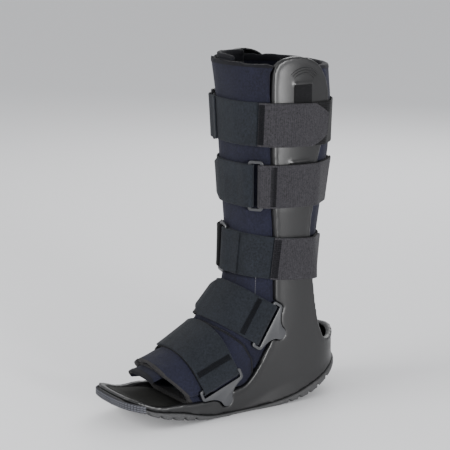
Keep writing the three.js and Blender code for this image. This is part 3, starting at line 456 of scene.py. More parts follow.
    def outline(self, drop: float = 0.0) -> Outline:
        """The shell from the side; a drop lowers the underside and runs the toe out."""
        rim = [(along(a), float(self.top(max(0, a))) + w * self.tray_wall) for a, w in TRAY_RIM]
        edge = [(along(a), up(z)) for a, z in (*FRONT_EDGE, *DOME, *REAR_EDGE)]
        if drop:
            rim.insert(0, (rim[0][0] - drop, rim[0][1] + drop * 0.6))
        under = self.line(GAP - drop)[1:-1][::-1]
        upper = rounded([*rim, *edge], 3)
        return [*upper, (along(1.02), under[0][1]), *under, (upper[0][0], under[-1][1])]

    @staticmethod
    def inset(outline: Outline, distance: float) -> Outline:
        """A side outline moved inwards by a distance."""
        ring = np.array(outline)
        ahead, behind = np.roll(ring, -1, axis=0), np.roll(ring, 1, axis=0)
        area = float(np.sum(ring[:, 0] * ahead[:, 1] - ahead[:, 0] * ring[:, 1]))
        side = -math.copysign(distance, area)
        a, b = unit(turned(ring - behind)), unit(turned(ahead - ring))
        step = side / np.maximum(0.5, 1 + (a * b).sum(axis=1))
        return [tuple(p) for p in ring + (a + b) * step[:, None]]


class Wrap:
    """The way that a strap takes: a ruled band along the convex outline of what it lies on.

    A place on it has a length s along the middle, a height h above the surface and a share
    w of the width, all in mm.
    """

    steps = 180  # places round the full turn

    def __init__(self, solids: Sequence[Solid], centre: np.ndarray, across: np.ndarray,
                 ahead: np.ndarray) -> None:
        """Measures the outline.

        Args:
            solids: Points and triangles of what lies under the strap.
            centre: A point in the strap's middle plane, on the leg's or foot's axis.
            across: The direction of the strap's width.
            ahead: The direction where the angle is zero, square to across.
        """
        side = np.cross(ahead, across)
        side = side if side[0] > 0 else -side
        rows = np.linspace(-1, 1, 7)
        angles = np.arange(self.steps) / self.steps * 2 * math.pi
        headings = np.stack([np.cos(angles), np.sin(angles)], 1)
        reaches = []
        for row in rows:
            origin = centre + across * row * WEB_WIDTH / 2
            flat = self.section(solids, origin, across, ahead, side)
            reaches.append(self.reach(self.hull(flat), headings))
        table = np.array(reaches)
        low, high = table[0], table[-1]
        over = np.max(table - low - (high - low) * ((rows + 1) / 2)[:, None], axis=0)
        over = np.maximum(0, over)
        low, high = self.eased(low + over), self.eased(high + over)
        ahead_side = headings[:, :1] * ahead + headings[:, 1:] * side
        half = across * WEB_WIDTH / 2
        self.low = centre - half + ahead_side * low[:, None]
        self.high = centre + half + ahead_side * high[:, None]
        middle = (self.low + self.high) / 2
        gaps = np.linalg.norm(np.roll(middle, -1, axis=0) - middle, axis=1)
        self.lengths = np.concatenate([[0], np.cumsum(gaps)])
        chord = np.roll(middle, -1, axis=0) - np.roll(middle, 1, axis=0)
        normal = unit(np.cross(chord, across))
        flip = np.where((normal * (middle - centre)).sum(axis=1) < 0, -1, 1)
        self.normals = normal * flip[:, None]

    @staticmethod
    def eased(values: np.ndarray) -> np.ndarray:
        """A round of values, eased without falling below what it was."""
        kernel = np.array([1, 4, 6, 4, 1]) / 16
        soft = values
        for _ in range(3):
            wide = np.concatenate([soft[-2:], soft, soft[:2]])
            soft = np.convolve(wide, kernel, "valid")
        lift = np.maximum(0, values - soft)
        for _ in range(3):
            wide = np.concatenate([lift[-2:], lift, lift[:2]])
            lift = np.maximum(lift, np.convolve(wide, kernel, "valid"))
        return soft + lift

    @staticmethod
    def section(solids: Sequence[Solid], origin: np.ndarray, across: np.ndarray,
                ahead: np.ndarray, side: np.ndarray) -> np.ndarray:
        """Where a plane cuts solids, as flat points."""
        found = []
        for points, triangles in solids:
            local = points - origin
            height = local @ across
            flat = np.stack([local @ ahead, local @ side], 1)
            for i, j in ((0, 1), (1, 2), (2, 0)):
                a, b = triangles[:, i], triangles[:, j]
                cut = (height[a] > 0) != (height[b] > 0)
                a, b = a[cut], b[cut]
                t = (height[a] / (height[a] - height[b]))[:, None]
                found.append(flat[a] + (flat[b] - flat[a]) * t)
        return np.concatenate(found)

    @staticmethod
    def hull(points: np.ndarray) -> np.ndarray:
        """Convex outline of flat points, counter-clockwise."""
        order = points[np.lexsort((points[:, 1], points[:, 0]))]

        def chain(rows: np.ndarray) -> list[np.ndarray]:
            """One side of the outline."""
            kept: list[np.ndarray] = []
            for p in rows:
                while len(kept) > 1:
                    u, v = kept[-1] - kept[-2], p - kept[-2]
                    if u[0] * v[1] - u[1] * v[0] > 0:
                        break
                    kept.pop()
                kept.append(p)
            return kept[:-1]

        return np.array(chain(order) + chain(order[::-1]))

    @staticmethod
    def reach(hull: np.ndarray, headings: np.ndarray) -> np.ndarray:
        """How far a convex outline reaches in each direction."""
        a, b = hull, np.roll(hull, -1, axis=0)
        edge = b - a
        cross = headings[:, None, 0] * edge[None, :, 1] - headings[:, None, 1] * edge[None, :, 0]
        cross = np.where(np.abs(cross) < TINY, TINY, cross)
        t = (a[None, :, 0] * edge[None, :, 1] - a[None, :, 1] * edge[None, :, 0]) / cross
        s = (a[None, :, 0] * headings[:, None, 1] - a[None, :, 1] * headings[:, None, 0]) / cross
        good = (t > 0) & (s > -1e-6) & (s < 1 + 1e-6)
        return np.max(np.where(good, t, 0), axis=1)

    @property
    def girth(self) -> float:
        """Length of a full turn."""
        return float(self.lengths[-1])

    def length_at(self, angle: float) -> float:
        """Length along the strap's way at an angle in degrees."""
        turns = math.floor(angle / 360)
        step = (angle - turns * 360) / 360 * self.steps
        return turns * self.girth + float(np.interp(step, np.arange(self.steps + 1), self.lengths))

    def at(self, s: np.ndarray | float, h: np.ndarray | float, w: np.ndarray | float) -> np.ndarray:
        """Points at lengths, heights and shares of the width."""
        s, h, w = np.broadcast_arrays(np.asarray(s, float), h, w)
        turned = np.mod(s, self.girth)
        i = np.clip(np.searchsorted(self.lengths, turned, "right") - 1, 0, self.steps - 1)
        j = (i + 1) % self.steps
        t = ((turned - self.lengths[i]) / (self.lengths[i + 1] - self.lengths[i]))[..., None]
        low = self.low[i] + (self.low[j] - self.low[i]) * t
        high = self.high[i] + (self.high[j] - self.high[i]) * t
        normal = unit(self.normals[i] + (self.normals[j] - self.normals[i]) * t)
        return low + (high - low) * (w + 0.5)[..., None] + normal * h[..., None]

    def frame(self, s: float, h: float, reach: float) -> np.ndarray:
        """A 4 by 4 frame at a length: X across, Y along the strap, Z outwards."""
        across = unit(self.at(s, h, 0.5) - self.at(s, h, -0.5))
        forward = self.at(s + reach, h, 0.0) - self.at(s - reach, h, 0.0)
        outward = unit(np.cross(across, forward))
        frame = np.eye(4)
        frame[:3, 0], frame[:3, 1], frame[:3, 2] = across, np.cross(outward, across), outward
        frame[:3, 3] = self.at(s, h, 0.0)
        return frame


class Wire:
    """A shader value in a Python expression: arithmetic on it adds Math nodes."""

    def __init__(self, kit: "Kit", socket: bpy.types.NodeSocket) -> None:
        self.kit, self.socket = kit, socket

    def maths(self, operation: str, *values: Any) -> "Wire":
        """A Math node of these values."""
        return self.kit.wire("ShaderNodeMath", {"operation": operation}, dict(enumerate(values)))

    def __add__(self, other: Any) -> "Wire":
        """Sum."""
        return self.maths("ADD", self, other)

    def __sub__(self, other: Any) -> "Wire":
        """Difference."""
        return self.maths("SUBTRACT", self, other)

    def __rsub__(self, other: Any) -> "Wire":
        """Difference from a number."""
        return self.maths("SUBTRACT", other, self)

    def __mul__(self, other: Any) -> "Wire":
        """Product."""
        return self.maths("MULTIPLY", self, other)

    __radd__ = __add__
    __rmul__ = __mul__

    def sine(self) -> "Wire":
        """Sine, in radians."""
        return self.maths("SINE", self)


class Kit:
    """Builds one material's node tree."""

    def __init__(self, name: str) -> None:
        """Starts an empty tree."""
        self.material = bpy.data.materials.new(name)
        self.material.use_nodes = True
        self.tree = self.material.node_tree
        self.tree.nodes.clear()

    def node(self, kind: str, settings: dict[str, Any] | None = None,
             values: dict[Any, Any] | None = None) -> bpy.types.Node:
        """Adds a node.

        Args:
            kind: The node's type.
            settings: Its properties.
            values: Numbers, wires or sockets for its inputs, by name or number.

        Returns:
            The node.
        """
        node = self.tree.nodes.new(kind)
        for key, value in (settings or {}).items():
            setattr(node, key, value)
        for key, value in (values or {}).items():
            target = node.inputs[key]
            if isinstance(value, Wire):
                value = value.socket
            if isinstance(value, bpy.types.NodeSocket):
                self.tree.links.new(value, target)
            else:
                target.default_value = value
        return node

    def wire(self, kind: str, settings: dict[str, Any] | None = None,
             values: dict[Any, Any] | None = None) -> Wire:
        """Adds a node and gives its first output."""
        return Wire(self, self.node(kind, settings, values).outputs[0])

    def place(self, source: str = "Object") -> bpy.types.NodeSocket:
        """Object or UV coordinates."""
        return self.node("ShaderNodeTexCoord").outputs[source]

    def noise(self, place: bpy.types.NodeSocket, scale: float, detail: float = 2.0,
              rough: float = 0.5) -> Wire:
        """Noise from 0 to 1 at a scale of waves per metre."""
        return self.wire("ShaderNodeTexNoise", {"noise_dimensions": "3D"},
                         {"Vector": place, "Scale": scale, "Detail": detail, "Roughness": rough})

    def blend(self, factor: Any, first: tuple, second: tuple) -> bpy.types.NodeSocket:
        """A colour between two."""
        node = self.node("ShaderNodeMix", {"data_type": "RGBA"})
        node.inputs[6].default_value, node.inputs[7].default_value = first, second
        self.tree.links.new(factor.socket, node.inputs[0])
        return node.outputs[2]

    def bump(self, height: Wire, depth: float,
             before: bpy.types.NodeSocket | None = None) -> bpy.types.NodeSocket:
        """A relief of a depth in mm, over another one if that is given."""
        values: dict[Any, Any] = {"Height": height, "Distance": depth / MM, "Strength": 1.0}
        if before is not None:
            values["Normal"] = before
        return self.node("ShaderNodeBump", None, values).outputs[0]

    def close(self, values: dict[str, Any]) -> bpy.types.Material:
        """Ends the tree in a Principled shader with these inputs."""
        shader = self.node("ShaderNodeBsdfPrincipled", None, values)
        self.node("ShaderNodeOutputMaterial", None, {"Surface": shader.outputs[0]})
        return self.material


def tint(colour: Sequence[float], gain: float = 1.0) -> tuple[float, ...]:
    """A colour from display values of 0 to 255, made linear."""
    shares = [value / 255 for value in colour]
    linear = [v / 12.92 if v <= 0.04045 else ((v + 0.055) / 1.055) ** 2.4 for v in shares]
    return (*(value * gain for value in linear), 1.0)


@dataclass(frozen=True)
class Moulded:
    """Moulded plastic or rubber with a fine grain."""

    name: str
    colour: Colour
    roughness: float
    grain: float = 2600.0
    depth: float = 0.05
    pebble: float = 0.0
    specular: float = 0.5

    def make(self) -> bpy.types.Material:
        """The material."""
        kit = Kit(self.name)
        place = kit.place()
        cloud = kit.noise(place, 22, 4, 0.6)
        grain = kit.noise(place, self.grain, 2)
        smudge = kit.noise(place, 70, 5, 0.7)
        colour = kit.blend(cloud, tint(self.colour, 0.86), tint(self.colour, 1.16))
        normal = kit.bump(grain, self.depth)
        if self.pebble:
            cells = kit.wire("ShaderNodeTexVoronoi", {"feature": "F1"},
                             {"Vector": place, "Scale": 520.0})
            normal = kit.bump(1 - cells * 1.4, self.pebble, normal)
        rough = smudge * 0.16 + (self.roughness - 0.08)
        return kit.close({"Base Color": colour, "Roughness": rough, "Normal": normal,
                          "Specular IOR Level": self.specular})


@dataclass(frozen=True)
class Brushed:
    """A brushed laminate or foam: soft nap over a slightly uneven pad."""

    name: str
    colour: Colour
    nap: float = 1300.0
    depth: float = 0.35
    sheen: float = 0.06
    contrast: float = 3.4

    def make(self) -> bpy.types.Material:
        """The material."""
        kit = Kit(self.name)
        place = kit.place()
        cloud = kit.noise(place, 16, 3, 0.55)
        nap = kit.noise(place, self.nap, 3, 0.7)
        fleck = kit.noise(place, self.nap * 0.35, 3, 0.7)
        shade = (cloud * 0.25 + fleck * 0.4 + nap * 0.35) * self.contrast - (self.contrast - 1) * 0.5
        colour = kit.blend(shade, tint(self.colour, 0.3), tint(self.colour, 2.1))
        normal = kit.bump(nap * 0.6 + fleck * 0.8, self.depth)
        return kit.close({"Base Color": colour, "Roughness": 0.92, "Normal": normal,
                          "Specular IOR Level": 0.25, "Sheen Weight": self.sheen,
                          "Sheen Roughness": 0.45})


class Face(Enum):
    """What the face of a webbing carries."""

    LOOP = "loop"
    HOOK = "hook"
    PLAIN = "plain"


@dataclass(frozen=True)
class Webbing:
    """Woven webbing, its yarns along the strap's own length and width."""

    name: str
    colour: Colour
    face: Face
    contrast: float = 3.2
    rib_pitch: float = 2.1
    pick_pitch: float = 2.4
    depth: float = 0.4

    def make(self) -> bpy.types.Material:
        """The material."""
        kit = Kit(self.name)
        split = kit.node("ShaderNodeSeparateXYZ", None, {0: kit.place("UV")})
        length, width = Wire(kit, split.outputs[0]), Wire(kit, split.outputs[1])
        place = kit.place()
        nap = kit.noise(place, 1100, 4, 0.8)
        tuft = kit.noise(place, 420, 3, 0.7)
        cloud = kit.noise(place, 30, 3, 0.6)
        ribs = (width * (2 * math.pi * MM / self.rib_pitch)).sine() * 0.5 + 0.5
        picks = (length * (2 * math.pi * MM / self.pick_pitch)).sine() * 0.5 + 0.5
        if self.face is Face.LOOP:
            relief, shade = nap * 0.6 + tuft * 0.4, nap * 0.4 + tuft * 0.45 + cloud * 0.15
        elif self.face is Face.HOOK:
            relief, shade = picks * 0.06 + nap * 0.94, nap * 0.6 + tuft * 0.36 + picks * 0.04
        else:
            relief, shade = ribs * 0.5 + picks * 0.3 + nap * 0.2, nap * 0.6 + ribs * 0.4
        shade = shade * self.contrast - (self.contrast - 1) * 0.5
        colour = kit.blend(shade, tint(self.colour, 0.25), tint(self.colour, 2.2))
        return kit.close({"Base Color": colour, "Roughness": 0.9,
                          "Normal": kit.bump(relief, self.depth), "Specular IOR Level": 0.2,
                          "Sheen Weight": 0.06, "Sheen Roughness": 0.5})


class Finishes:
    """Every material of the boot, by name."""

    def __init__(self) -> None:
        """Makes them all."""
        kinds = (
            Moulded("shell_plastic", (18, 18, 19), 0.4, 3200, 0.03, 0.0, 0.5),
            Moulded("sole_rubber", (55, 55, 56), 0.62, 2200, 0.08, 0.35, 0.35),
            Moulded("bumper_rubber", (72, 73, 79), 0.55, 2200, 0.06, 0.0, 0.35),
            # Painted shade: the bumper's body is darker than its blocks so that the gaps between the
            # blocks read as shaded
            Moulded("bumper_painted_shade", (40, 40, 44), 0.65, 2200, 0.06, 0.0, 0.35),
            Moulded("footbed_foam", (32, 32, 30), 0.85, 900, 0.3, 0.0, 0.2),
            Moulded("buckle_plastic", (42, 43, 46), 0.36, 2800, 0.03, 0.0, 0.7),
            Brushed("liner_fabric", (17, 18, 31)),
            Brushed("lining_fabric", (14, 15, 21), 1300, 0.25),
            Brushed("binding", (12, 12, 17), 2400, 0.15),
            Brushed("edge_tape", (34, 33, 34), 2400, 0.15),
            Webbing("loop_webbing", (20, 23, 28), Face.LOOP),
            Webbing("hook_webbing", (37, 36, 39), Face.HOOK, 3.6),
            Webbing("under_webbing", (8, 8, 10), Face.PLAIN),
            Brushed("hook_patch", (7, 7, 9), 900, 0.5),
            Moulded("thread", (3, 4, 9), 0.8, 2600, 0.02, 0.0, 0.2),
            Moulded("seam_thread", (75, 75, 80), 0.7, 2600, 0.02),
        )
        self.made = {kind.name: kind.make() for kind in kinds}


class Growth:
    """Geometry Nodes for what repeats along a path or follows it."""

    @staticmethod
    def tree(name: str, sizes: Sequence[tuple[str, float]]) -> tuple[Any, Any, Any, dict[str, str]]:
        """A tree with named inputs.

        Args:
            name: The tree's name.
            sizes: Names and values of its float inputs.

        Returns:
            The tree, its input and output nodes, and each input's identifier.
        """
        tree = bpy.data.node_groups.new(name, "GeometryNodeTree")
        tree.interface.new_socket("Geometry", in_out="INPUT", socket_type="NodeSocketGeometry")
        tree.interface.new_socket("Geometry", in_out="OUTPUT", socket_type="NodeSocketGeometry")
        names = {}
        for label, value in sizes:
            socket = tree.interface.new_socket(label, in_out="INPUT", socket_type="NodeSocketFloat")
            socket.default_value = value
            names[label] = socket.identifier
        return tree, tree.nodes.new("NodeGroupInput"), tree.nodes.new("NodeGroupOutput"), names

    @classmethod
    def grow(cls, name: str, paths: Sequence[np.ndarray], tree: Any, names: dict[str, str],
             values: dict[str, float]) -> Object:
        """Runs a tree over open paths and gives a plain mesh.

        Args:
            name: The new piece's name.
            paths: Points in mm of each path.
            tree: The node tree.
            names: Its inputs' identifiers.
            values: What each input is set to.

        Returns:
            The piece.
        """
        points, edges = [], []
        for path in paths:
            start = len(points)
            points.extend(Bench.place(path).tolist())
            edges.extend((start + i, start + i + 1) for i in range(len(path) - 1))
        data = bpy.data.meshes.new(name)
        data.from_pydata(points, edges, [])
        obj = Bench.link(name, data)
        modifier = obj.modifiers.new("grow", "NODES")
        modifier.node_group = tree
        for label, value in values.items():
            modifier[names[label]] = value
        return Bench.shade(Bench.settle(obj), SHARP)

    @staticmethod
    def wire(tree: Any, *pairs: tuple[Any, Any]) -> None:
        """Links sockets two by two; a node stands for its first socket."""
        for source, target in pairs:
            source = source.outputs[0] if isinstance(source, bpy.types.Node) else source
            target = target.inputs[0] if isinstance(target, bpy.types.Node) else target
            tree.links.new(source, target)

    @classmethod
    def close(cls, tree: Any, last: Any, end: Any, material: bpy.types.Material) -> None:
        """Ends a tree in Realize Instances and Set Material."""
        real = tree.nodes.new("GeometryNodeRealizeInstances")
        paint = tree.nodes.new("GeometryNodeSetMaterial")
        paint.inputs["Material"].default_value = material
        cls.wire(tree, (last, real), (real, paint), (paint, end))

    @classmethod
    def bead(cls, name: str, paths: Sequence[np.ndarray], radius: float,
             material: bpy.types.Material) -> Object:
        """A round bead along paths, radius in mm."""
        tree, start, end, names = cls.tree(name + "_tree", [("Radius", 0.001)])
        curve, ring, sweep = (tree.nodes.new("GeometryNode" + kind) for kind in (
            "MeshToCurve", "CurvePrimitiveCircle", "CurveToMesh"))
        ring.inputs["Resolution"].default_value = 8
        sweep.inputs["Fill Caps"].default_value = True
        cls.wire(tree, (start, curve), (start.outputs["Radius"], ring.inputs["Radius"]),
                 (curve, sweep), (ring, sweep.inputs["Profile Curve"]))
        cls.close(tree, sweep, end, material)
        return cls.grow(name, paths, tree, names, {"Radius": radius / MM})

    @classmethod
    def row(cls, name: str, paths: Sequence[np.ndarray], pitch: float,
            size: Place, slant: float,
            material: bpy.types.Material) -> Object:
        """Small rounded blocks at a pitch along paths, all in mm.

        Args:
            name: The piece's name.
            paths: Points of each path.
            pitch: From one block to the next.
            size: Along, across and out.
            slant: Degrees that each block leans from the path.
            material: Its material.

        Returns:
            The piece.
        """
        values = {"Pitch": pitch / MM, "Along": size[0] / MM, "Across": size[1] / MM,
                  "Out": size[2] / MM, "Slant": math.radians(slant)}
        inputs = [(label, 0.0 if label == "Slant" else 0.001) for label in values]
        tree, start, end, names = cls.tree(name + "_tree", inputs)
        curve, sample, cube, scatter, rise, ray = (tree.nodes.new("GeometryNode" + kind) for kind in (
            "MeshToCurve", "ResampleCurve", "MeshCube", "InstanceOnPoints", "InputNormal",
            "InputTangent"))
        turn, lean, spin, box = (tree.nodes.new(kind) for kind in (
            "FunctionNodeAxesToRotation", "FunctionNodeRotateRotation",
            "FunctionNodeAxisAngleToRotation", "ShaderNodeCombineXYZ"))
        sample.mode, lean.rotation_space = "LENGTH", "LOCAL"
        turn.primary_axis, turn.secondary_axis = "X", "Z"
        spin.inputs["Axis"].default_value = (0, 0, 1)
        given, grid = start.outputs, scatter.inputs
        cls.wire(tree, (start, curve), (curve, sample), (given["Pitch"], sample.inputs["Length"]),
                 *((given[label], box.inputs[i]) for i, label in enumerate(("Along", "Across", "Out"))),
                 (box, cube.inputs["Size"]), (ray, turn), (rise, turn.inputs[1]),
                 (given["Slant"], spin.inputs["Angle"]), (turn, lean), (spin, lean.inputs[1]),
                 (sample, grid["Points"]), (cube, grid["Instance"]), (lean, grid["Rotation"]))
        cls.close(tree, scatter, end, material)
        return cls.grow(name, paths, tree, names, values)


@dataclass
class StrapSizes:
    """Heights and sizes, in mm, that every strap shares."""

    clear: float = 0.95
    layer: float = 0.5
    bar_width: float = 3.4
    bar_height: float = 2.4
    bar_clear: float = 0.75
    buckle_length: float = 60.0
    window: float = 11.2
    fold: float = 17.0
    slot: float = 7.0
    chafe_reach: float = 33.0
    chafe_tip: float = 7.5
    chafe_clear: float = 0.7
    cut: float = 22.0
    stitch_rows: int = 5
    stitch_points: int = 40
    stitch_spacing: float = 1.3
    thread: float = 0.5
    run_step: float = 2.4
    cut_lift: float = 0.9
    cut_lift_length: float = 26.0
    bar_round: float = 1.1

    @property
    def first(self) -> float:
        """Middle height of webbing on the body."""
        return self.clear + WEB_THICKNESS / 2

    @property
    def second(self) -> float:
        """Middle height of webbing on another layer."""
        return self.first + WEB_THICKNESS + self.layer

    @property
    def bar(self) -> float:
        """Middle height of a buckle's bar."""
        return self.first + WEB_THICKNESS / 2 + self.bar_clear + self.bar_height / 2

    @property
    def turn(self) -> float:
        """Radius of webbing turned round a bar."""
        return WEB_THICKNESS / 2 + self.bar_clear + self.bar_height / 2

    @property
    def reach(self) -> float:
        """Half the distance between the bars of a leg buckle."""
        return (self.window + self.bar_width) / 2


class StrapMaker:
    """Lays webbing, buckles and stitching along a strap's way."""

    def __init__(self, wrap: Wrap, sizes: StrapSizes, finishes: Finishes) -> None:
        """Keeps the way, the sizes and the finishes."""
        self.wrap, self.sizes, self.finishes = wrap, sizes, finishes

    def run(self, start: float, end: float, h: float, to_height: float | None = None) -> Path:
        """Places along a run, eased from one height to another."""
        count = max(2, int(abs(end - start) / self.sizes.run_step) + 1)
        t = np.linspace(0, 1, count)
        ease = smooth_step(t, 0, 1)
        last = h if to_height is None else to_height
        return list(zip((start + (end - start) * t).tolist(), (h + (last - h) * ease).tolist()))

    def round_bar(self, s: float, way: int, down: bool = False) -> Path:
        """A half turn round a bar, bulging one way, going up or down."""
        angles = np.linspace(-math.pi / 2, math.pi / 2, 11)
        centre, turn = s + way * self.sizes.bar_round, self.sizes.turn
        path = [(centre + way * turn * math.cos(a), self.sizes.bar + turn * math.sin(a))
                for a in angles]
        return path[::-1] if down else path

    def folded(self, s: float, way: int) -> Path:
        """Webbing that lies on top beside a bar, then goes down round it."""
        z = self.sizes
        return [*self.run(s + way * (z.fold + 6), s + way * z.fold, z.second)[:-1],
                *self.run(s + way * z.fold, s + way * 3, z.second, z.bar + z.turn),
                *self.round_bar(s, -way, True)]

    def returned(self, s: float, way: int, tip: float) -> Path:
        """Webbing that comes up round a bar and lies on top as far as its tip."""
        z = self.sizes
        return [*self.round_bar(s, way),
                *self.run(s - way * 3, s - way * z.fold, z.bar + z.turn, z.second)[:-1],
                *self.run(s - way * z.fold, tip, z.second)]

    def band(self, name: str, path: Path, cut_end: bool = False) -> Object:
        """Webbing with rolled selvedges along a path.

        Args:
            name: The piece's name.
            path: Lengths and heights in mm.
            cut_end: Whether the end's corners are cut off and lift a little.

        Returns:
            The piece, with lengths and widths in metres as its UV map.
        """
        line = np.array(path)
        steps = np.linalg.norm(np.diff(line, axis=0), axis=1)
        line = line[np.concatenate([[True], steps > 0.05])]
        normal = -turned(unit(np.gradient(line, axis=0)))
        travel = np.concatenate([[0], np.cumsum(np.linalg.norm(np.diff(line, axis=0), axis=1))])
        left = travel[-1] - travel
        wide = np.ones(len(line))
        if cut_end:
            wide = np.interp(left, np.array([0, 0.35, 1]) * self.sizes.cut, [0.5, 0.72, 1])
            lift = 1 - smooth_step(left, 0, self.sizes.cut_lift_length)
            line[:, 1] += self.sizes.cut_lift * lift
        flip = -1 if line[-1, 0] < line[0, 0] else 1
        edge, puffs = (1, 0.992, 0.97, 0.93, 0.8, 0.5, 0.17), (0.3, 0.72, 1, 1.12, 1, 0.98, 0.97)
        columns = np.array([*(-x for x in edge), *edge[::-1]]) / 2
        swell = np.array([*puffs, *puffs[::-1]])
        rings, marks = [], []
        for i, (s, h) in enumerate(line):
            ring = []
            for sign, order in ((1, columns), (-1, columns[::-1])):
                puff = swell * WEB_THICKNESS / 2 * sign * flip
                ring.append(self.wrap.at(s + normal[i, 0] * puff, h + normal[i, 1] * puff,
                                         order * wide[i]))
            rings.append(np.concatenate(ring))
            across = np.concatenate([columns, columns[::-1]]) * wide[i] * WEB_WIDTH
            marks.append(np.column_stack([np.full(len(across), travel[i]), across]))
        obj = Bench.lofted(name, rings)
        chart = obj.data.uv_layers.new(name="weave")
        mark = np.concatenate(marks) / MM
        corners = np.empty(len(obj.data.loops), int)
        obj.data.loops.foreach_get("vertex_index", corners)
        chart.data.foreach_set("uv", mark[corners].ravel())
        return Bench.shade(obj, 60)

    def lay(self, builder: "Builder", node: str, path: Path, finish: str,
            cut_end: bool = False) -> None:
        """Lays one layer of webbing in place of the frame's node.

        Args:
            builder: What it needs.
            node: The node that it stands for.
            path: Its lengths and heights in mm.
            finish: Its material.
            cut_end: Whether its end is cut.
        """
        obj = builder.fit(self.band("dressed_" + node, path, cut_end), finish, node)

    def height(self, path: Path, s: float) -> float:
        """How high a path's outer layer lies at a length."""
        outer = sorted(p for p in path if p[1] > self.sizes.second - 0.01)
        return float(np.interp(s, *zip(*outer)))

    def stitches(self, name: str, s: float, h: float) -> Object:
        """Rows of zigzag thread across the webbing at a length."""
        z = self.sizes
        w = np.linspace(-0.47, 0.47, z.stitch_points) * 0.97
        zig = np.where(np.arange(z.stitch_points) % 2, 0.55, -0.55)
        places = [s + (row - (z.stitch_rows - 1) / 2) * z.stitch_spacing + zig
                  for row in range(z.stitch_rows)]
        paths = [self.wrap.at(place, h + WEB_THICKNESS / 2 + 0.12, w) for place in places]
        return Growth.bead(name, paths, z.thread, self.finishes.made["thread"])

    @staticmethod
    def shape(name: str, outline: np.ndarray, hole: np.ndarray, frame: np.ndarray,
              depth: float) -> Object:
        """A flat moulding with one hole, bevelled, in a frame."""
        work = bmesh.new()
        edges = []
        for ring in (outline, hole):
            corners = [work.verts.new((x, y, -depth / 2)) for x, y in ring]
            edges += [work.edges.new((a, b)) for a, b in zip(corners, corners[1:] + corners[:1])]
        bmesh.ops.triangle_fill(work, use_beauty=True, use_dissolve=False, edges=edges)
        bmesh.ops.dissolve_limit(work, angle_limit=0.01, verts=work.verts, edges=work.edges)
        grown = bmesh.ops.extrude_face_region(work, geom=work.faces[:])
        corners = [v for v in grown["geom"] if isinstance(v, bmesh.types.BMVert)]
        bmesh.ops.translate(work, verts=corners, vec=(0, 0, depth))
        data = bpy.data.meshes.new(name)
        work.to_mesh(data)
        work.free()
        points = np.empty(len(data.vertices) * 3)
        data.vertices.foreach_get("co", points)
        points = points.reshape(-1, 3) @ frame[:3, :3].T + frame[:3, 3]
        data.vertices.foreach_set("co", Bench.place(points).ravel())
        return Bench.bevel(Bench.outward(Bench.link(name, data)), 0.6, 3)

    @staticmethod
    def rounded_rectangle(width: float, height: float, radius: float) -> np.ndarray:
        """Points of a rounded rectangle round the origin."""
        points = []
        for k, (sx, sy) in enumerate(((1, -1), (1, 1), (-1, 1), (-1, -1))):
            centre = (sx * (width / 2 - radius), sy * (height / 2 - radius))
            for a in np.linspace(-math.pi / 2 + k * math.pi / 2, k * math.pi / 2, 7):
                points.append((centre[0] + radius * math.cos(a), centre[1] + radius * math.sin(a)))
        return np.array(points)

    def spread(self, s: float) -> float:
        """How far from a leg buckle's middle its bars lie along the curved way."""
        reach, h = self.sizes.reach, self.sizes.bar
        gap = np.linalg.norm(self.wrap.at(s - reach, h, 0.0) - self.wrap.at(s + reach, h, 0.0))
        return float(2 * reach**2 / gap)

    def ring(self, name: str, s: float) -> Object:
        """A rectangular leg buckle, its middle at a length."""
        spread = self.spread(s)
        frame = self.wrap.frame(s, self.sizes.bar, spread)
        ends = [self.wrap.frame(s + way * spread, self.sizes.bar, 3)[:3, 3] for way in (-1, 1)]
        frame[:3, 3] = (ends[0] + ends[1]) / 2
        long, window, bar = self.sizes.buckle_length, self.sizes.window, self.sizes.bar_width
        outer = self.rounded_rectangle(long, window + bar * 2, 4)
        inner = self.rounded_rectangle(long - bar * 2, window, 1.5)
        return self.shape(name, outer, inner, frame, self.sizes.bar_height)

    def chafe_outline(self, grow: float) -> np.ndarray:
        """The outline of a foot buckle with its rounded tab."""
        z = self.sizes
        half, low = z.buckle_length / 2 + grow, -z.bar_width / 2 - grow
        plate = z.bar_width / 2 + z.slot + z.bar_width + grow
        tip, end = z.chafe_tip + grow, z.chafe_reach - z.chafe_tip

        def bow(a: tuple, b: tuple, c: tuple) -> list[tuple]:
            """A soft corner from a to c by way of b."""
            return [tuple((1 - t) ** 2 * p + 2 * t * (1 - t) * q + t * t * r
                          for p, q, r in zip(a, b, c)) for t in np.linspace(0, 1, 9)]

        right = [(half - 3 + 3 * math.cos(a), low + 3 + 3 * math.sin(a))
                 for a in np.linspace(-math.pi / 2, 0, 6)]
        right += bow((half, plate - 4), (half, plate), (half - 5, plate + 1))
        right += bow((half - 5, plate + 1), (tip + 3, plate + 5), (tip, end))
        tip_angles = np.linspace(0, math.pi, 13)[1:-1]
        round_tip = [(tip * math.cos(a), end + tip * math.sin(a)) for a in tip_angles]
        outline = right + round_tip + [(-x, y) for x, y in right[::-1]]
        kept = [p for p, q in zip(outline, outline[1:] + outline[:1]) if math.dist(p, q) > 0.05]
        return np.array(kept)

    def chafe_frame(self, s: float, way: int) -> np.ndarray:
        """The frame of a foot buckle at a length, its tab pointing one way."""
        frame = self.wrap.frame(s, self.sizes.bar, 3)
        return frame if way > 0 else frame @ np.diag([1.0, -1.0, -1.0, 1.0])

    def chafe(self, name: str, s: float, way: int) -> Object:
        """A foot buckle at a length, its tab pointing one way."""
        z = self.sizes
        hole = self.rounded_rectangle(z.buckle_length - z.bar_width * 2, z.slot, 1.2)
        hole += (0, z.bar_width / 2 + z.slot / 2)
        return self.shape(name, self.chafe_outline(0), hole, self.chafe_frame(s, way), z.bar_height)

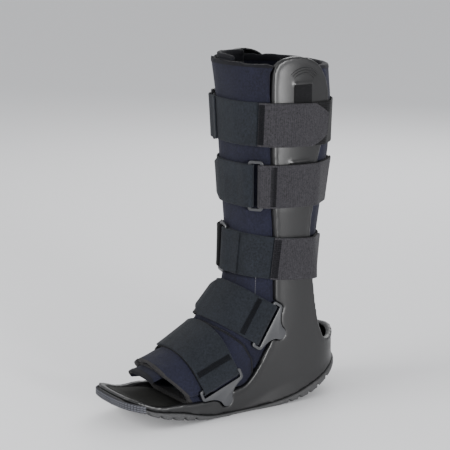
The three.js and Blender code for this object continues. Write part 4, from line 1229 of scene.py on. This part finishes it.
    def notch(self, name: str, s: float, way: int) -> Object:
        """The room that a foot buckle's tab takes in the shell's edge."""
        frame = self.chafe_frame(s, way)
        outline = self.chafe_outline(self.sizes.chafe_clear)
        rings = []
        for z in (-15, 15):
            flat = np.column_stack([outline, np.full(len(outline), z)])
            rings.append(flat @ frame[:3, :3].T + frame[:3, 3])
        return Bench.lofted(name, rings)


@dataclass
class Builder:
    """What every sub-assembly needs: the frame's nodes, the outer form and the finishes."""

    nodes: dict[str, Object]
    form: ShellForm
    finishes: Finishes

    def fit(self, obj: Object, finish: str, *nodes: str,
            slot: str | None = None) -> Object:
        """Dresses a piece and lets it stand for the frame's nodes.

        Args:
            obj: The new piece.
            finish: Its material's name.
            nodes: The nodes that it stands for.
            slot: Not used.

        Returns:
            The same piece.
        """
        obj.data.materials.clear()
        obj.data.materials.append(self.finishes.made[finish])
        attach(obj, "root")
        if nodes:
            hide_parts(*nodes)
        LOG.info("%s: %d faces, %s", obj.name, len(obj.data.polygons), finish)
        return obj


@dataclass
class Patch:
    """Hook patches at one height on both uprights, each under a ledge."""

    label: str
    along: float
    top: float
    foot: float
    width: float = 24.0
    thickness: float = 1.2
    ledge: float = 2.0

    def layer(self, form: ShellForm, inner: float, outer: float, low: float, high: float,
              side: int) -> Object:
        """A piece of the outer form between two offsets and two heights on one side."""
        y = along(self.along)
        box = [(y, low), (y + self.width, low), (y + self.width, high), (y, high)]
        limits = (0, 200) if side > 0 else (-200, 0)
        return Bench.boolean(form.skin("plate", outer, low - 8, high + 8),
                             (form.skin("inner", inner, low - 9, high + 9), Meet.AWAY),
                             (Bench.side_solid("box", box, *limits), Meet.WITHIN))

    def ledges(self, form: ShellForm) -> list[Object]:
        """The ledge above the patch on each side."""
        low = up(self.top) + GAP
        return [self.layer(form, -1.5, self.thickness + 0.3, low, low + self.ledge, side)
                for side in (1, -1)]

    def build(self, builder: Builder) -> None:
        """Makes both patches."""
        for side, name in ((1, "near"), (-1, "far")):
            node = f"hook_patch_{name}_{self.label}"
            plate = self.layer(builder.form, GAP, GAP + self.thickness, up(self.foot),
                               up(self.top), side)
            plate.name = "dressed_" + node
            builder.fit(Bench.bevel(plate, 0.35, 2), "hook_patch", node)


@dataclass
class Shell:
    """The moulded shell: tray, skirt, heel cup and two uprights."""

    voxel: float = 1.65
    rounds: int = 4
    rim_width: float = 4.0
    rim_proud: float = 0.7
    past_toe: float = 40.0
    rib_radii: tuple[float, ...] = (19.0, 22.0, 25.0)
    rib_up: float = 0.908
    rib_along: float = 0.745
    rib_arc: tuple[float, float, int] = (40.0, 135.0, 36)
    rib_bead: float = 0.75

    def body(self, form: ShellForm) -> Object:
        """The shell before its notches: the outer skin cut to its side view and hollowed."""
        body = form.skin("dressed_shell", 0.0)
        flange = Bench.boolean(form.skin("flange", -form.lip_depth),
                               (form.above("floor", form.floor), Meet.WITHIN))
        inner = form.inset(form.outline(self.past_toe), form.lip_height)
        hollow = Bench.boolean(form.skin("hollow", -form.wall),
                               (form.above("floor", form.floor), Meet.WITHIN),
                               (Bench.side_solid("inner", inner), Meet.WITHIN))
        return Bench.boolean(body, (Bench.side_solid("side", form.outline()), Meet.WITHIN),
                             (flange, Meet.AWAY), (self.rim(form), Meet.WITH), (hollow, Meet.AWAY))

    def rim(self, form: ShellForm) -> Object:
        """The rolled rim that stands a little proud along the shell's whole edge."""
        inset = form.inset(form.outline(self.past_toe), self.rim_width)
        return Bench.boolean(form.skin("rim", self.rim_proud),
                             (form.skin("inner", -form.wall * 0.6), Meet.AWAY),
                             (Bench.side_solid("side", form.outline()), Meet.WITHIN),
                             (Bench.side_solid("inset", inset), Meet.AWAY))

    def ribs(self, form: ShellForm) -> list[np.ndarray]:
        """Arcs on the face of each upright near its top."""
        middle_y, middle_z = along(self.rib_along), up(self.rib_up)
        paths = []
        for side in (1, -1):
            for radius in self.rib_radii:
                path = []
                for angle in np.radians(np.linspace(*self.rib_arc)):
                    y, z = middle_y + radius * math.cos(angle), middle_z + radius * math.sin(angle)
                    ring = form.ring(z, 0.1)
                    face = ring[ring[:, 0] > 20]
                    face = face[np.argsort(face[:, 1])]
                    path.append((side * np.interp(y, face[:, 1], face[:, 0]), y, z))
                paths.append(np.array(path))
        return paths

    def build(self, builder: Builder, notches: Sequence[Object],
              patches: Sequence[Patch]) -> None:
        """Makes the shell with its notches, ledges and ribs."""
        body = self.body(builder.form)
        Bench.boolean(body, *((notch, Meet.AWAY) for notch in notches))
        for patch in patches:
            Bench.boolean(body, *((ledge, Meet.WITH) for ledge in patch.ledges(builder.form)))
        Bench.refine(body, self.voxel, self.rounds)
        builder.fit(body, "shell_plastic", "shell")
        ribs = Growth.bead("dressed_arc_ribs", self.ribs(builder.form), self.rib_bead,
                           builder.finishes.made["shell_plastic"])
        builder.fit(ribs, "shell_plastic")


@dataclass
class Outsole:
    """The rubber rocker sole, the toe bumper and the footbed."""

    flare: float = 1.5
    groove: float = 3.4
    pitch: float = 15.0
    bumper: float = 2.0
    bumper_reach: float = 20.0
    footbed: float = 3.0
    block: Place = (3.0, 1.7, 1.8)
    block_pitch: float = 3.6
    block_slant: float = 14.0
    block_rows: tuple[float, ...] = (0.22, 0.5, 0.78)
    block_end: int = 14

    def grooves(self, form: ShellForm) -> Outline:
        """Places (y, z) of the grooves in the tread's face."""
        places = []
        for start, way in ((0.08, 1), (0.9, -1)):
            for i in range(5):
                share = start + way * i * self.pitch / FOOT_LENGTH
                places.append((along(share), float(form.bottom(share))))
        return places

    def sole(self, builder: Builder) -> None:
        """The rocker with its grooves."""
        form = builder.form
        shares = np.linspace(0, 1, 80)
        top = [(along(s), float(form.top(s))) for s in shares]
        low = [(along(s), float(form.bottom(s))) for s in shares][::-1]
        outline = [(top[0][0] - 20, top[0][1]), *top, (top[-1][0] + 20, top[-1][1]),
                   (low[0][0] + 20, low[0][1]), *low, (low[-1][0] - 20, low[-1][1])]
        body = form.skin("dressed_outsole", self.flare, -2, 90, 2)
        Bench.boolean(body, (Bench.side_solid("side", outline), Meet.WITHIN))
        half, deep = self.groove / 2, self.groove
        for y, z in self.grooves(form):
            box = [(y - half, z - deep), (y + half, z - deep), (y + half, z + deep), (y - half, z + deep)]
            Bench.boolean(body, (Bench.side_solid("groove", box), Meet.AWAY))
        Bench.refine(body, 1.3, 3)
        builder.fit(body, "sole_rubber", "outsole")

    def toe(self, builder: Builder) -> None:
        """The toe bumper and the small slanted blocks embossed on it."""
        form, share = builder.form, self.bumper_reach / FOOT_LENGTH
        wall = form.tray_wall
        outline = [(along(-0.1), float(form.top(0)) + wall * 0.2),
                   (along(share), float(form.top(share)) + wall * 0.16),
                   (along(share), float(form.bottom(share)) + 1),
                   (along(-0.1), float(form.bottom(0)) + 1)]
        body = form.skin("dressed_toe_bumper", self.flare + self.bumper, 0, 90, 2)
        inner = form.skin("inner", self.flare + GAP, -5, 95, 2)
        Bench.boolean(body, (inner, Meet.AWAY), (Bench.side_solid("side", outline), Meet.WITHIN))
        Bench.refine(body, 0.6, 3)
        # The body takes the darker finish, painted shade for the gaps between the blocks
        builder.fit(body, "bumper_painted_shade", "toe_bumper", slot="bumper_rubber")
        paths = []
        reach = self.flare + self.bumper
        (start, high_start), (end, high_end), (_, low_end), (_, low_start) = outline
        for lift in self.block_rows:
            points = []
            for index in range(-self.block_end, self.block_end + 1):
                y = form.ring(up(0.07), reach)[index, 1]
                high = float(np.interp(y, (start, end), (high_start, high_end)))
                low = float(np.interp(y, (start, end), (low_start, low_end)))
                points.append(form.ring(low + (high - low) * lift, reach)[index])
            paths.append(np.array(points))
        blocks = Growth.row("dressed_bumper_blocks", paths, self.block_pitch, self.block,
                            self.block_slant, builder.finishes.made["bumper_rubber"])
        builder.fit(blocks, "bumper_rubber")

    def insole(self, builder: Builder) -> None:
        """The foam footbed."""
        form = builder.form
        low = form.floor + GAP
        body = form.skin("dressed_footbed", -form.lip_depth - GAP, 0, 120)
        Bench.boolean(body, (form.above("low", low), Meet.WITHIN),
                      (form.above("high", low + self.footbed), Meet.AWAY))
        Bench.refine(body, 1.6, 3)
        builder.fit(body, "footbed_foam", "footbed")

    def build(self, builder: Builder) -> None:
        """Makes all three."""
        self.sole(builder)
        self.toe(builder)
        self.insole(builder)


@dataclass
class Liner:
    """The padded wrap liner: boot, two flaps, tongue and toe flap, with bound edges."""

    instep: float = 143.0
    top: float = 411.5
    top_fall: float = 11.0
    depth: float = 78.0
    fill: float = 0.7
    binding: float = 6.0
    tape: float = 3.5
    proud: float = 0.55
    puff: float = 2.2
    pressure: float = 5.0
    stiffness: float = 25.0
    levels: int = 10
    frames: int = 20
    strap_bands: tuple[float, ...] = (0.814, 0.641, 0.433)
    seam_place: tuple[float, float] = (41.5, -51.0)
    seam_levels: tuple[float, float, float] = (132.0, 162.0, 1.2)

    def rim(self, drop: float) -> Outline:
        """The band at the sloping top edge, from the side."""
        front, back, lift = self.top, self.top - self.top_fall, 30.0
        ends = [(-self.depth * 1.6, front + 0.3 * self.top_fall),
                (self.depth * 1.6, back - 0.3 * self.top_fall)]
        return [(y, z - drop) for y, z in ends] + [(y, z + lift) for y, z in ends[::-1]]

    def beside(self, line: Sequence[tuple[float, float]], ahead: float, behind: float) -> Outline:
        """A band ahead of and behind a slanted line of (along, instep) shares."""
        points = np.array([(along(a), z * self.instep) for a, z in line])
        side = turned(unit(np.gradient(points, axis=0)))
        return [*map(tuple, points - side * behind), *map(tuple, (points + side * ahead)[::-1])]

    def soften(self, node: str, builder: Builder, voxel: float, rounds: int, finish: str,
               puffed: bool = False) -> Object:
        """A node of the frame as soft foam.

        Args:
            node: The node.
            builder: What it needs.
            voxel: Mesh width in mm.
            rounds: Smoothing rounds.
            finish: Its material.
            puffed: Whether the foam pushes out as cloth under pressure.

        Returns:
            The foam piece.
        """
        obj = Bench.copy(builder.nodes[node], "dressed_" + node)
        Bench.refine(obj, voxel, rounds)
        if puffed:
            self.swell(obj)
        Bench.shade(obj)
        builder.fit(obj, finish, node)
        return obj

    def held(self, points: np.ndarray) -> np.ndarray:
        """1 where straps or uprights hold the foam, 0 midway between them."""
        held = np.zeros(len(points))
        for share in self.strap_bands:
            away = np.abs(points[:, 2] - up(share))
            held = np.maximum(held, 1 - smooth_step(away, WEB_WIDTH / 2 - 1, WEB_WIDTH / 2 + 9))
        front = along(FRONT_EDGE[8][0])
        beside = smooth_step(points[:, 1], front - 8, front - 1) * (np.abs(points[:, 0]) > 30)
        return np.maximum(held, beside)

    def swell(self, obj: Object) -> None:
        """Lets cloth under pressure settle, moved no further than the puff."""
        before, _ = Bench.read(obj)
        weights = self.held(before)
        group = obj.vertex_groups.new(name="held")
        for level in range(1, self.levels + 1):
            chosen = np.nonzero(np.ceil(weights * self.levels).astype(int) == level)[0]
            group.add(chosen.tolist(), level / self.levels, "REPLACE")
        cloth = obj.modifiers.new("puff", "CLOTH")
        stuff = cloth.settings
        stuff.vertex_group_mass = group.name
        stuff.use_pressure = True
        stuff.uniform_pressure_force = self.pressure
        stuff.tension_stiffness = stuff.compression_stiffness = self.stiffness
        stuff.effector_weights.gravity = 0
        scene = bpy.context.scene
        for frame in range(1, self.frames + 1):
            scene.frame_set(frame)
        Bench.settle(obj)
        scene.frame_set(1)
        after, _ = Bench.read(obj)
        step = after - before
        far = np.linalg.norm(step, axis=1)
        step *= (np.minimum(far, self.puff) / np.maximum(far, 1e-6))[:, None]
        obj.data.vertices.foreach_set("co", Bench.place(before + step).ravel())
        obj.data.update()

    def bind(self, piece: Object, region: Outline, label: str, builder: Builder,
             finish: str = "binding") -> None:
        """Edge binding: a piece's own skin, a little proud, within a side view region."""
        tape = Bench.copy(piece, f"{piece.name}_{label}")
        points, _ = Bench.read(tape)
        normals = np.empty(len(tape.data.vertices) * 3)
        tape.data.vertices.foreach_get("normal", normals)
        points = points + normals.reshape(-1, 3) * self.proud
        tape.data.vertices.foreach_set("co", Bench.place(points).ravel())
        tape.data.update()
        Bench.boolean(tape, (Bench.side_solid("region", region), Meet.WITHIN))
        builder.fit(Bench.shade(tape, 40), finish, slot="lining_fabric")

    def seam(self, pieces: Sequence[Object], builder: Builder) -> None:
        """The upright row of stitches in front of the ankle."""
        places = []
        for z in np.arange(*self.seam_levels):
            want = Vector(Bench.place(np.array((*self.seam_place, z))).tolist())
            found = [piece.closest_point_on_mesh(want) for piece in pieces]
            hit = min(found, key=lambda row: (row[1] - want).length)
            places.append((np.array(hit[1] + hit[2] * 0.0002) - Bench.axis) * MM)
        line = np.array(places)
        dashes = [line[i:i + 2] for i in range(0, len(line) - 1, 2)]
        builder.fit(Growth.bead("seam_stitches", dashes, 0.4, builder.finishes.made["seam_thread"]),
                    "seam_thread", slot="liner_fabric")

    def build(self, builder: Builder) -> None:
        """Makes the five soft pieces and their bindings."""
        boot = self.soften("liner", builder, 2.12, 12, "liner_fabric")
        leg = self.soften("liner_leg_flap", builder, 2.3, 16, "liner_fabric", True)
        foot = self.soften("liner_foot_flap", builder, 2.0, 14, "liner_fabric", True)
        tongue = self.soften("liner_top_tongue", builder, 1.5, 8, "lining_fabric")
        toe_flap = self.soften("liner_toe_flap", builder, 1.2, 10, "liner_fabric")
        for piece in (boot, leg):
            self.bind(piece, self.rim(self.binding), "rim_binding", builder)
        self.bind(tongue, self.rim(-1), "rim_binding", builder)
        self.seam((boot, leg), builder)
        rear = [(0.402, 1.1), (0.402, 0.78), (0.412, 0.73), (0.45, 0.68), (0.515, 0.56),
                (0.55, 0.42), (0.555, 0.1)]
        self.bind(foot, self.beside(rear, self.tape, 12), "edge_binding", builder)
        toe = [(0.13, 0.7), (0.14, 0.54), (0.173, 0.38), (0.244, 0.22), (0.277, 0.1)]
        for piece in (boot, foot):
            self.bind(piece, self.beside(toe, 12, self.tape), "toe_binding", builder, "edge_tape")
        tip = [(along(a), z) for a, z in ((0.1, 20), (0.1, 90), (0.145, 90), (0.145, 20))]
        self.bind(toe_flap, tip, "edge_binding", builder)


@dataclass
class FootStrap:
    """A strap over the foot: an under layer, a top layer and two buckles with tabs."""

    number: int
    along: float
    up: float
    lean: float
    bar: float
    tip: float

    def wrap(self, solids: Sequence[Solid]) -> Wrap:
        """The strap's way."""
        lean = math.radians(self.lean)
        centre = np.array((0, along(self.along), up(self.up)))
        across = np.array((0, math.sin(lean), math.cos(lean)))
        return Wrap(solids, centre, across, np.array((0, -math.cos(lean), math.sin(lean))))

    def notches(self, maker: StrapMaker) -> list[Object]:
        """The room for both tabs in the shell."""
        wrap = maker.wrap
        return [maker.notch("notch", wrap.length_at(way * self.bar), way) for way in (1, -1)]

    def build(self, builder: Builder, maker: StrapMaker) -> None:
        """Makes the layers, the buckles and the stitching."""
        wrap, z = maker.wrap, maker.sizes
        near, far, tip = (wrap.length_at(a) for a in (self.bar, -self.bar, self.tip))
        under = [*maker.folded(far, 1), *maker.run(far + 6, near - 12, z.first)]
        top = [(near - 12 + GAP, z.first), (near - 5, z.first), *maker.returned(near, 1, tip)]
        name = f"foot_strap_{self.number}"
        maker.lay(builder, name + "_under", under, "under_webbing")
        maker.lay(builder, name + "_top", top, "loop_webbing", True)
        for side, s, way in (("near", near, 1), ("far", far, -1)):
            node = f"{name}_{side}_buckle"
            builder.fit(maker.chafe("dressed_" + node, s, way), "buckle_plastic", node)
        seam = near - z.fold - 2
        rows = maker.stitches(name + "_stitches", seam, maker.height(top, seam))
        builder.fit(rows, "thread", slot="under_webbing")


@dataclass
class LegStrap:
    """A strap round the leg: a back layer, a front layer, an end tab and a buckle."""

    number: int
    up: float
    tilt: float
    ring: float
    seam: float
    end: float
    tail: float | None = None
    start: float = 82.0
    join: float = -75.0

    def wrap(self, solids: Sequence[Solid]) -> Wrap:
        """The strap's way."""
        tilt = math.tan(math.radians(self.tilt))
        across = unit(np.array((0.545 * tilt, 0.839 * tilt, 1)))
        ahead = unit(np.array((0.0, -1, 0)) + across * across[1])
        return Wrap(solids, np.array((0, 0, up(self.up))), across, ahead)

    def ways(self, maker: StrapMaker) -> dict[str, Path]:
        """The path of each layer."""
        wrap, first, second = maker.wrap, maker.sizes.first, maker.sizes.second
        ring, seam, end, start, join = (wrap.length_at(a) for a in (
            self.ring, self.seam, self.end, self.start, self.join))
        spread = maker.spread(ring)
        left, right, turn = ring - spread, ring + spread, wrap.girth
        if self.tail is None:
            back, front = left + turn, right
            return {"back": [*maker.folded(back, -1), (back - 5, first),
                             *maker.run(back - 8, start, first)],
                    "front": [*maker.folded(front, 1), (front + 5, first),
                              *maker.run(front + 8, start - GAP * 2, first)],
                    "tab": maker.run(seam, end, second)}
        return {"back": maker.run(wrap.length_at(self.seam + 12), join + turn - GAP, first),
                "front": [*maker.run(join, left - 5, first),
                          *maker.returned(left, 1, wrap.length_at(self.tail))],
                "tab": [(right + 11, first), (right + 5, first), *maker.returned(right, -1, end)]}

    def build(self, builder: Builder, maker: StrapMaker) -> None:
        """Makes the layers, the buckle and the stitching."""
        wrap = maker.wrap
        name, ways = f"leg_strap_{self.number}", self.ways(maker)
        maker.lay(builder, name + "_back", ways["back"], "under_webbing")
        maker.lay(builder, name + "_front", ways["front"], "loop_webbing", self.tail is not None)
        maker.lay(builder, name + "_tab", ways["tab"], "hook_webbing", self.tail is None)
        ring = wrap.length_at(self.ring)
        builder.fit(maker.ring(f"dressed_{name}_buckle", ring), "buckle_plastic", name + "_buckle")
        seam = wrap.length_at(self.seam) + 3.5
        if self.tail is not None:
            seam = ring + maker.spread(ring) + maker.sizes.fold - 5
        rows = maker.stitches(name + "_stitches", seam, maker.height(ways["tab"], seam))
        builder.fit(rows, "thread", slot="under_webbing")


@dataclass
class Studio:
    """A pale floor, soft lights and the camera."""

    azimuth: float = 57.0
    elevation: float = 12.5
    distance: float = 1.9
    lens: float = 129.04
    target: Place = (-0.00563, 0.00877, 0.2135)
    lights: tuple[tuple[str, Place, float, float], ...] = (
        ("key_light", (-0.35, -1.7, 1.0), 1.1, 28.0),
        ("strip_light", (2.0, -0.12, 0.3), 0.32, 46.0),
        ("back_light", (-1.1, 1.3, 1.3), 1.2, 16.0),
    )

    def light(self, name: str, place: Place, width: float, power: float) -> None:
        """A square soft light turned to the boot."""
        data = bpy.data.lights.new(name, "AREA")
        data.energy, data.size = power, width
        lamp = bpy.data.objects.new(name, data)
        lamp.location = place
        lamp.rotation_euler = (Vector(self.target) - Vector(place)).to_track_quat("-Z", "Y").to_euler()
        bpy.context.scene.collection.objects.link(lamp)

    def floor(self) -> None:
        """A wide pale floor."""
        data, size, level = bpy.data.meshes.new("floor"), 12.0, -0.0005
        corners = [(x * size, y * size, level) for x, y in ((-1, -1), (1, -1), (1, 1), (-1, 1))]
        data.from_pydata(corners, [], [(0, 1, 2, 3)])
        data.materials.append(Kit("floor_paint").close({
            "Base Color": (0.86, 0.86, 0.87, 1), "Roughness": 0.9, "Specular IOR Level": 0.1}))
        Bench.link("floor", data)

    def build(self) -> None:
        """Sets the stage."""
        self.floor()
        for light in self.lights:
            self.light(*light)
        world = bpy.data.worlds.new("studio")
        world.use_nodes = True
        paint = world.node_tree.nodes["Background"]
        paint.inputs["Color"].default_value = (0.93, 0.94, 0.96, 1)
        paint.inputs["Strength"].default_value = 0.8
        bpy.context.scene.world = world
        data = bpy.data.cameras.new("camera")
        data.lens, data.sensor_width = self.lens, 36
        camera = bpy.data.objects.new("camera", data)
        azimuth, elevation = math.radians(self.azimuth), math.radians(self.elevation)
        flat = math.cos(elevation)
        away = Vector((math.sin(azimuth) * flat, -math.cos(azimuth) * flat, math.sin(elevation)))
        camera.location = Vector(self.target) + away * self.distance
        camera.rotation_euler = away.to_track_quat("Z", "Y").to_euler()
        bpy.context.scene.collection.objects.link(camera)
        bpy.context.scene.camera = camera


LEG_STRAPS = (
    LegStrap(1, 0.814, 2.5, -40, 41.5, 123),
    LegStrap(2, 0.641, 1.5, 38.5, 58, 158, -36),
    LegStrap(3, 0.433, 6, -13, 57, 163),
)
FOOT_STRAPS = (FootStrap(1, 0.616, 0.235, 34, 80, -32), FootStrap(2, 0.388, 0.102, 70, 88, -58))
PATCH_START = 0.699
PATCHES = (Patch("upper", PATCH_START, 0.922, 0.865), Patch("lower", 0.689, 0.703, 0.69))


def main() -> None:
    """Builds the boot in order."""
    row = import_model()
    Bench.centre()
    nodes = row["nodes"]
    builder = Builder(nodes, ShellForm(), Finishes())
    soft = [Bench.read(nodes[name]) for name in ("liner", "liner_leg_flap", "liner_foot_flap")]
    patches = [name for name in nodes if name.startswith("hook_patch")]
    hard = [Bench.read(nodes[name]) for name in ("shell", *patches)]
    foot, leg = ([(strap, StrapMaker(strap.wrap(solids), StrapSizes(), builder.finishes))
                  for strap in straps] for straps, solids in (
                      (FOOT_STRAPS, soft), (LEG_STRAPS, soft[:2] + hard)))
    notches = [notch for strap, maker in foot for notch in strap.notches(maker)]
    Shell().build(builder, notches, PATCHES)
    Outsole().build(builder)
    Liner().build(builder)
    for patch in PATCHES:
        patch.build(builder)
    for strap, maker in (*foot, *leg):
        strap.build(builder, maker)
    Studio().build()


if __name__ == "__main__":
    main()
